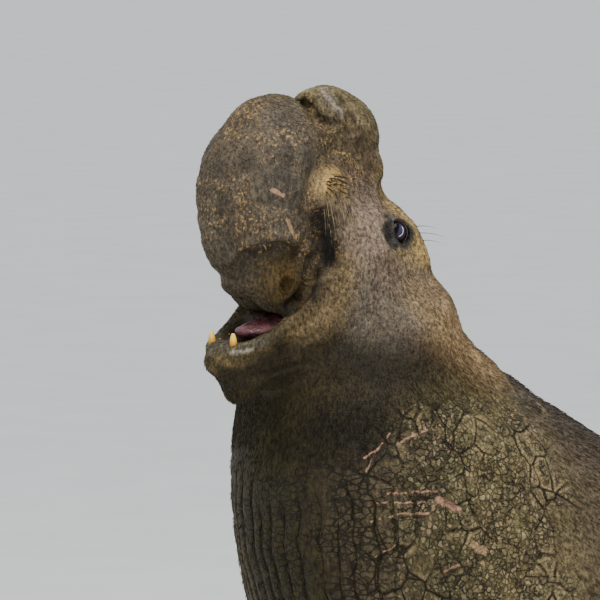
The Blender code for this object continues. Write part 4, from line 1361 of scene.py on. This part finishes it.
def hide(settings):
    """The whole skin: the solids' own shape made finer, folded and cracked, and set in by the depth of the coat."""
    skin = flesh(settings.skin_step)
    refine(skin, place(*HEAD_MIDDLE), HEAD_REACH)
    relax(skin, near(coords(skin), place(*HEAD_MIDDLE), HEAD_REACH * 1.3), 0.006, settings.skin_step / 2)
    raise_strokes(skin, laid(surface_of(skin), SKIN_FOLDS))
    points = coords(skin)
    lift = swells_of_fat(points) - crack_depth(skin) - settings.coat_depth
    points += normals_of(skin) * lift[:, None]
    points[:, 2] = np.maximum(points[:, 2], 0.0)
    set_coords(skin, points)
    thin_out(skin, settings.skin_triangles)
    mark_hide(skin, surface_of(skin))
    skin.data.shade_smooth()
    return skin


def eyeball(side, radius):
    """The ball of the eye, with its clear front bulging a little towards where it looks."""
    gaze = (on_head(0.28, side, -0.16) - on_head(0, 0, 0)).normalized()
    bm = bmesh.new()
    bmesh.ops.create_uvsphere(bm, u_segments=48, v_segments=36, radius=radius)
    turn = gaze.to_track_quat("Z", "Y").to_matrix()
    tailwards = turn.transposed() @ (on_head(-0.75, 0, 0.66) - on_head(0, 0, 0))
    from_pupil, to_tail = [], []
    for vert in bm.verts:
        off_axis = vert.co.angle(Vector((0, 0, 1)))
        bulge = 1 + 0.045 * (1 + math.cos(min(off_axis / 0.75, 1) * math.pi)) / 2
        from_pupil.append(off_axis)
        to_tail.append(vert.co.dot(tailwards) / radius)
        vert.co = eye_centre(side) + turn @ (vert.co * bulge)
    made = from_bmesh("eye", bm)
    store(made, "from_pupil", np.array(from_pupil))
    store(made, "to_tail", np.array(to_tail))
    made.data.shade_smooth()
    return made


# The rim of the lids: points round it, half its length and height, and how thick it is.
RIM_STATIONS = 40
RIM_HALF_LENGTH = 0.0262
RIM_HALF_HEIGHT = 0.0205
RIM_RADIUS = 0.0021


def lid_rim(side, radius):
    """The dark wet edge of the lids, all round the opening."""
    rows = []
    for k in range(RIM_STATIONS + 1):
        turn = math.tau * k / RIM_STATIONS
        forward, up = RIM_HALF_LENGTH * math.cos(turn), RIM_HALF_HEIGHT * math.sin(turn)
        out = math.sqrt(radius**2 - forward**2 - up**2)
        rows.append((on_head(forward, side * (EYE_SIDE + out), up), RIM_RADIUS, RIM_RADIUS))
    rim = tube("rim", rows, Vector((0, 1, 0)), 1, 10)
    rim.data.shade_smooth()
    return rim


def rim_material():
    """Hairless wet skin at the edge of the lids, almost black."""
    material, tree, shader = new_material("wet_lid")
    r = Recipe(tree)
    position = add_node(tree, "ShaderNodeTexCoord").outputs["Object"]
    grain = r.mottle(position, 0.003, 0.3, 0.7, 2.0)
    finish_surface(
        tree, shader, r.mix(grain, linear("#141212"), linear("#2b2725")), r.plus(r.times(grain, 0.1), 0.22),
        r.times(grain, 0.0003),
    )
    return material


def towards_tip(obj, root, tip):
    """Stores how far along each point is from root to tip."""
    along = np.array(tip) - np.array(root)
    store(obj, "towards_tip", np.clip((coords(obj) - np.array(root)) @ along / (along @ along), 0, 1))


def fine_tooth(x, out, root, tip, radius, lean):
    """One worn tooth, leaning out and back, with a blunt tip."""
    rows = []
    for share in np.linspace(0, 1, 7):
        wide = radius * (1.20 - 0.10 * share**2 - 0.45 * share**6)
        centre = place(x + lean[0] * share**1.5, out + lean[1] * share**1.5, root + (tip - root) * share)
        rows.append((centre, wide, wide * 0.85))
    made = tube("tooth", rows, Vector((0, 1, 0)), 2, 18)
    towards_tip(made, place(x, out, root), place(x, out, tip))
    return made


def joined_fine(name, objects):
    """One object from several, with what each point stores kept."""
    bpy.ops.object.select_all(action="DESELECT")
    for obj in objects:
        obj.select_set(True)
    bpy.context.view_layer.objects.active = objects[0]
    bpy.ops.object.join()
    objects[0].name = name
    objects[0].data.shade_smooth()
    return objects[0]


def lower_teeth():
    random = np.random.default_rng(11)
    made = []
    for x, out, root, tip, radius in TEETH:
        for side in (-1, 1):
            lean = random.uniform(-0.002, 0.002), side * random.uniform(0.001, 0.004)
            worn = 0.006 if radius > 0.007 else 0.009
            made.append(fine_tooth(x, side * out, root, tip - worn - random.uniform(0, 0.002), radius, lean))
    return joined_fine("teeth", made)


def fine_tongue():
    """The tongue, grooved down the middle and lumpy at its edges."""
    made = tube(
        "tongue",
        [
            (place(0.130, 0, 1.320), 0.034, 0.018),
            (place(0.090, 0, 1.314), 0.042, 0.021),
            (place(0.050, 0, 1.308), 0.046, 0.022),
            (place(0.010, 0, 1.302), 0.045, 0.020),
            (place(-0.020, 0, 1.299), 0.040, 0.016),
            (place(-0.040, 0, 1.298), 0.030, 0.011),
        ],
        steps=6,
    )
    made = fused("tongue", [made], 0.0025)
    points = coords(made)
    x, y, z = points.T
    on_top = between(z, 1.300, 1.320)
    points[:, 2] -= 0.004 * np.exp(-((y / 0.006) ** 2)) * on_top
    points[:, 2] += 0.0015 * np.sin(240 * x + 60 * y) * np.sin(210 * y) * on_top
    set_coords(made, points)
    relax_all(made, 0.004, 0.0025)
    made.data.shade_smooth()
    return made


def fine_claws(side):
    """The five claws of one hand, ridged along their backs."""
    out, back = Vector((0, -side, 0)), Vector((1, 0, 0))
    wrist = place(WRIST[0], side * WRIST[1], 0)
    made = []
    for bearing, length in FINGERS:
        heading = heading_of(bearing, out, back)
        rows = []
        for share, height, width in CLAW_STATIONS:
            rows.append((wrist + heading * length * share + Vector((0, 0, height)), width, width * 0.75))
        claw = tube("claw", rows, heading.cross(Vector((0, 0, 1))), 6, 20)
        towards_tip(claw, rows[0][0], rows[-1][0])
        made.append(claw)
    return joined_fine("claws", made)


def whisker(root, way, length, droop, radius):
    """One stiff tapered whisker that leaves along way and droops."""
    rows = []
    for share in np.linspace(0, 1, 7):
        centre = root + way * length * (share - 0.06) + Vector((0, 0, -1)) * droop * length * share**2
        width = radius * (1 - 0.85 * share)
        rows.append((centre, width, width))
    return tube("whisker", rows, way.orthogonal(), 1, 6)


# Rows and columns of whiskers on each pad, and the hairs over each eye: forward, up, length.
PAD_ROWS = 6
PAD_COLUMNS = 8
BROW_HAIRS = ((-0.012, 0.066, 0.050), (-0.030, 0.070, 0.062), (-0.046, 0.064, 0.045))


def whiskers(skin):
    """Rows of bristles on the pads, longer whiskers that hang from their lower edge, and a few over each eye."""
    random = np.random.default_rng(7)
    surface = surface_of(skin)
    made = []

    def grow(at, heading, length, droop, radius, pale):
        root, normal, _, _ = surface.find_nearest(at)
        hair = whisker(root, (normal + Vector(heading)).normalized(), length, droop, radius)
        store(hair, "pale", np.full(len(hair.data.vertices), pale))
        made.append(hair)

    for side in (-1, 1):
        for row in range(PAD_ROWS):
            for column in range(PAD_COLUMNS):
                down, back = row / (PAD_ROWS - 1), column / (PAD_COLUMNS - 1)
                x = 0.060 + 0.080 * back + 0.003 * random.standard_normal()
                z = 1.636 - 0.075 * down - 0.028 * (back - 0.45) ** 2 + 0.002 * random.standard_normal()
                hanging = between(down, 0.55, 0.9)
                length = (0.017 + 0.060 * hanging * random.uniform(0.5, 1.0)) * random.uniform(0.8, 1.2)
                heading = (0.55 - 0.45 * hanging, 0, -0.30 - 1.5 * hanging)
                stout = (0.0014 - 0.0006 * hanging) * random.uniform(0.85, 1.15)
                grow(place(x, side * 0.16, z), heading, length, 0.25 + 0.25 * hanging, stout, hanging)
        for forward, up, length in BROW_HAIRS:
            grow(on_head(forward, side * 0.11, up), (0.45, 0, -0.25), length, 0.25, 0.0008, 0.0)
    return joined_fine("whiskers", made)


# Length of a tuft on the body, and how much shorter it is on the head.
TUFT_LENGTH = 0.0150
TUFT_LESS = 0.0070

# How deep each tuft starts under the skin, half the side of its patch on the map, and the most triangles in a piece.
ROOT_DEPTH = 0.0008
HALF_PATCH = 0.0015
PIECE_TRIANGLES = 190000


def tuft_roots(skin, count, random):
    """Places spread over the hide by how thick the coat is there: the point, its normal, and a size for its tuft."""
    skin.data.calc_loop_triangles()
    corners = np.empty(len(skin.data.loop_triangles) * 3, np.int32)
    skin.data.loop_triangles.foreach_get("vertices", corners)
    corners = corners.reshape(-1, 3)
    points, normals = coords(skin), normals_of(skin)
    middles = points[corners].mean(axis=1)
    edges = points[corners[:, 1:]] - points[corners[:, :1]]
    areas = np.linalg.norm(np.cross(edges[:, 0], edges[:, 1]), axis=1)
    head = near(middles, place(*HEAD_MIDDLE), 0.62)
    thick = (0.55 + 2.6 * between(head, 0.05, 0.5)) * (1 - 0.85 * shield_amount(middles))
    thick *= 1 - 0.60 * between(near(middles, place(0.0, 0, 1.58), 0.27), 0.10, 0.40)
    thick *= (1 - mouth_amount(middles, 0.016)) * between(middles[:, 2], 0.012, 0.05)
    for side in (-1, 1):
        thick *= 1 - between(near(middles, on_head(0, side * 0.125, 0), 0.055), 0.05, 0.35)
    chance = areas * thick
    chosen = random.choice(len(chance), count, p=chance / chance.sum())
    shares = random.dirichlet((1, 1, 1), count)[:, :, None]
    roots = (points[corners[chosen]] * shares).sum(axis=1)
    ups = (normals[corners[chosen]] * shares).sum(axis=1)
    ups /= np.linalg.norm(ups, axis=1)[:, None]
    size = TUFT_LENGTH - TUFT_LESS * between(head[chosen], 0.05, 0.5)
    return roots, ups, size


def coat_pieces(skin, settings, material):
    """Short flat tufts that lie back along the body, each a thin closed blade, in pieces from the nose to the tail."""
    random = np.random.default_rng(21)
    roots, ups, size = tuft_roots(skin, settings.tuft_count, random)
    way, _ = along_body(roots)
    number = crease_number(roots)
    in_crease = (np.abs(number - np.round(number)) < 0.10) & (crease_strength(roots, number) > 0.3)
    keep = ~in_crease
    roots, ups, size, way = roots[keep], ups[keep], size[keep], way[keep]
    order = np.argsort(roots[:, 0])
    roots, ups, size, way = roots[order], ups[order], size[order], way[order]
    count = len(roots)
    sway = random.normal(0, 0.22, count)[:, None]
    along = way - ups * np.einsum("ij,ij->i", way, ups)[:, None]
    along /= np.linalg.norm(along, axis=1)[:, None] + 1e-9
    across = np.cross(ups, along)
    along, across = along * np.cos(sway) + across * np.sin(sway), across * np.cos(sway) - along * np.sin(sway)
    length = (size * random.uniform(0.7, 1.3, count))[:, None]
    width = length * random.uniform(0.050, 0.085, count)[:, None]
    lift = length * random.uniform(0.10, 0.32, count)[:, None]
    base = roots - ups * ROOT_DEPTH
    blades = np.stack([
        base - across * width,
        base + across * width,
        base + along * length * 0.35 + ups * (lift * 0.5 + width * 0.9),
        base + along * length + ups * lift,
    ], axis=1)
    blade_faces = np.array([(0, 2, 1), (0, 1, 3), (0, 3, 2), (1, 2, 3)])
    shade = random.uniform(0, 1, count)
    unwrap = coat_map(roots)
    patch = np.array([(-1, -1), (1, -1), (1, 1), (-1, 1)]) * HALF_PATCH
    surface = surface_of(skin)
    piece_count = math.ceil(count * len(blade_faces) / PIECE_TRIANGLES)
    for number_of_piece, chosen in enumerate(np.array_split(np.arange(count), piece_count), 1):
        mesh = bpy.data.meshes.new("coat")
        faces = (np.arange(len(chosen))[:, None, None] * 4 + blade_faces).reshape(-1, 3)
        mesh.vertices.add(len(chosen) * 4)
        mesh.vertices.foreach_set("co", blades[chosen].astype(np.float32).ravel())
        mesh.loops.add(faces.size)
        mesh.loops.foreach_set("vertex_index", faces.astype(np.int32).ravel())
        mesh.polygons.add(len(faces))
        mesh.polygons.foreach_set("loop_start", np.arange(0, faces.size, 3, dtype=np.int32))
        mesh.update(calc_edges=True)
        mesh.validate()
        piece = new_object(f"coat_{number_of_piece}", mesh)
        mark_hide(piece, surface, np.repeat(roots[chosen], 4, axis=0))
        tip_lift = np.tile((-0.30, -0.30, 0.0, 0.25), len(chosen))
        store(piece, "shade", np.clip(np.repeat(shade[chosen], 4) * 0.8 + 0.15 + tip_lift, 0, 1))
        corner_places = np.repeat(unwrap[chosen], 4, axis=0) + np.tile(patch, (len(chosen), 1))
        layer = mesh.uv_layers.new(name="OFBake")
        layer.data.foreach_set("uv", corner_places[faces.ravel()].astype(np.float32).ravel())
        made_piece(piece.name, piece, material, "hide")


def coat_map(roots):
    """Where each root lies on the hide's unwrap: round the body across, and along it upwards, hands and feet apart."""
    line, _ = spine()
    nearest = nearest_on(line, roots)
    way, angle = along_body(roots)
    steps = np.linalg.norm(np.diff(line, axis=0), axis=1)
    travelled = np.concatenate([[0], np.cumsum(steps)])
    along = travelled[nearest] - np.einsum("ij,ij->i", roots - line[nearest], way)
    across = 0.02 + 0.96 * (angle / math.tau + 0.5)
    upwards = 0.22 + 0.76 * np.clip((along + 0.4) / (travelled[-1] + 0.8), 0, 1)
    x, y, z = (roots - np.array((CHEST_FRONT_X, 0, 0))).T
    hand = (np.abs(y) > 0.50) & (x < 1.0) & (z < 0.24)
    foot = x > 3.22
    across = np.where(hand, 0.02 + 0.40 * (y + 0.95) / 1.9 + 0.02 * z, across)
    upwards = np.where(hand, 0.01 + 0.18 * np.clip((x - 0.5) / 0.5, 0, 1), upwards)
    across = np.where(foot, 0.52 + 0.44 * (y + 0.45) / 0.9, across)
    upwards = np.where(foot, 0.01 + 0.18 * np.clip((x - 3.2) / 0.65, 0, 1), upwards)
    return np.stack([across, upwards], axis=1)


# The add-on.


class SealSettings(bpy.types.PropertyGroup):
    """The sizes and colours that a user would change."""

    skin_step: FloatProperty(
        name="Skin step", description="Size of the skin's faces before it is thinned", default=0.0055, unit="LENGTH"
    )
    skin_triangles: IntProperty(
        name="Skin triangles", description="Triangles of the finished skin", default=196000
    )
    coat_depth: FloatProperty(
        name="Coat depth", description="How far the skin lies inside the solids", default=0.003, unit="LENGTH"
    )
    tuft_count: IntProperty(name="Tufts", description="Tufts of the whole coat", default=200000)
    floor_size: FloatProperty(name="Floor", description="Width of the studio floor", default=160.0, unit="LENGTH")
    view_width: FloatProperty(
        name="View width", description="Width of what the camera sees, at the head", default=1.23, unit="LENGTH"
    )
    view_distance: FloatProperty(
        name="View distance", description="Camera's distance from the head", default=14.0, unit="LENGTH"
    )
    sky_colour: FloatVectorProperty(
        name="Sky", description="Colour of the soft light all round", subtype="COLOR", default=linear("#dfe3e8")
    )


def settings_of(context):
    return context.scene.seal


class SEAL_OT_hide(bpy.types.Operator):
    """Makes the skin in one piece over every solid of flesh"""

    bl_idname = "seal.hide"
    bl_label = "Hide"

    def execute(self, context):
        skin = hide(settings_of(context))
        made_piece("hide", skin, hide_material(scars_on(skin)), "hide", *FLESH_NODES)
        return {"FINISHED"}


class SEAL_OT_eyes(bpy.types.Operator):
    """Makes both eyes and the wet edges of their lids"""

    bl_idname = "seal.eyes"
    bl_label = "Eyes"

    def execute(self, context):
        wet_eye, wet_lid = eye_material(), rim_material()
        for side, word in SIDES:
            made_piece(f"eyeball_{word}", eyeball(side, EYE_RADIUS - EYE_GAP), wet_eye, "eye", f"eye_{word}")
            made_piece(f"lid_rim_{word}", lid_rim(side, EYE_RADIUS), wet_lid, "hide")
        return {"FINISHED"}


class SEAL_OT_mouth(bpy.types.Operator):
    """Makes the tongue and the teeth that the open mouth shows"""

    bl_idname = "seal.mouth"
    bl_label = "Mouth"

    def execute(self, context):
        made_piece("moist_tongue", fine_tongue(), tongue_material(), "tongue", "tongue")
        made_piece("lower_teeth", lower_teeth(), tooth_material(), "tongue")
        return {"FINISHED"}


class SEAL_OT_claws(bpy.types.Operator):
    """Makes the claws of both hands"""

    bl_idname = "seal.claws"
    bl_label = "Claws"

    def execute(self, context):
        horn = claw_material()
        for side, word in SIDES:
            made_piece(f"claws_{word}", fine_claws(side), horn, "hide")
        return {"FINISHED"}


class SEAL_OT_whiskers(bpy.types.Operator):
    """Makes the whiskers of the pads and the brows"""

    bl_idname = "seal.whiskers"
    bl_label = "Whiskers"

    def execute(self, context):
        made_piece("whiskers", whiskers(bpy.data.objects["hide"]), whisker_material(), "hide")
        return {"FINISHED"}


class SEAL_OT_coat(bpy.types.Operator):
    """Makes the short coat, tuft by tuft, over the hide"""

    bl_idname = "seal.coat"
    bl_label = "Coat"

    def execute(self, context):
        skin = bpy.data.objects["hide"]
        coat_pieces(skin, settings_of(context), hide_material(scars_on(skin), "seal_coat", is_coat=True))
        return {"FINISHED"}


def area_light(name, place_at, aim, size, power, colour):
    light = bpy.data.lights.new(name, "AREA")
    light.shape = "DISK"
    light.size = size
    light.energy = power
    light.color = colour
    made = bpy.data.objects.new(name, light)
    bpy.context.scene.collection.objects.link(made)
    made.location = place_at
    made.rotation_euler = (Vector(aim) - Vector(place_at)).to_track_quat("-Z", "Y").to_euler()


CAMERA_AZIMUTH = math.radians(-35)
CAMERA_ELEVATION = math.radians(4)
CAMERA_AIM = (0.10, 0, 1.357)
CAMERA_REACH = 400
SKY_STRENGTH = 1.3

# The soft lights: name, place, width, power in watts, colour.
LIGHTS = (
    ("overhead", (-2.6, -1.5, 5.5), 4.0, 420, "#fffaf2"),
    ("front_left", (-6.0, -4.0, 3.0), 3.0, 160, "#f4f7ff"),
)


class SEAL_OT_studio(bpy.types.Operator):
    """Makes the pale floor, the soft light and the camera"""

    bl_idname = "seal.studio"
    bl_label = "Studio"

    def execute(self, context):
        settings = settings_of(context)
        bpy.ops.mesh.primitive_plane_add(size=settings.floor_size)
        floor = context.active_object
        floor.name = "studio_floor"
        floor.data.materials.append(floor_material())

        world = bpy.data.worlds.new("studio_sky")
        world.use_nodes = True
        background = world.node_tree.nodes["Background"]
        background.inputs["Color"].default_value = (*settings.sky_colour, 1)
        background.inputs["Strength"].default_value = SKY_STRENGTH
        context.scene.world = world
        for name, place_at, size, power, colour in LIGHTS:
            area_light(name, place_at, place(0.5, 0, 1.0), size, power, linear(colour))

        camera = bpy.data.cameras.new("camera")
        made = bpy.data.objects.new("camera", camera)
        context.scene.collection.objects.link(made)
        level = math.cos(CAMERA_ELEVATION)
        back = Vector((
            math.sin(CAMERA_AZIMUTH) * level, -math.cos(CAMERA_AZIMUTH) * level, math.sin(CAMERA_ELEVATION)
        ))
        made.location = place(*CAMERA_AIM) + back * settings.view_distance
        made.rotation_euler = (-back).to_track_quat("-Z", "Y").to_euler()
        camera.lens = camera.sensor_width * settings.view_distance / settings.view_width
        camera.clip_end = CAMERA_REACH
        context.scene.camera = made
        return {"FINISHED"}


STEPS = (SEAL_OT_hide, SEAL_OT_eyes, SEAL_OT_mouth, SEAL_OT_claws, SEAL_OT_whiskers, SEAL_OT_coat, SEAL_OT_studio)


class SEAL_PT_panel(bpy.types.Panel):
    """Lists the seal's settings and the steps that make it"""

    bl_label = "Elephant seal"
    bl_idname = "SEAL_PT_panel"
    bl_space_type = "VIEW_3D"
    bl_region_type = "UI"
    bl_category = "Seal"

    def draw(self, context):
        for name in SealSettings.__annotations__:
            self.layout.prop(settings_of(context), name)
        for step in STEPS:
            self.layout.operator(step.bl_idname)


CLASSES = (SealSettings, *STEPS, SEAL_PT_panel)


def register():
    for made in CLASSES:
        bpy.utils.register_class(made)
    bpy.types.Scene.seal = PointerProperty(type=SealSettings)


def unregister():
    del bpy.types.Scene.seal
    for made in reversed(CLASSES):
        bpy.utils.unregister_class(made)


def main():
    register()
    bpy.ops.object.select_all(action="DESELECT")
    bpy.ops.seal.hide()
    bpy.ops.seal.eyes()
    bpy.ops.seal.mouth()
    bpy.ops.seal.claws()
    bpy.ops.seal.whiskers()
    bpy.ops.seal.coat()
    bpy.ops.seal.studio()


if __name__ == "__main__":
    main()
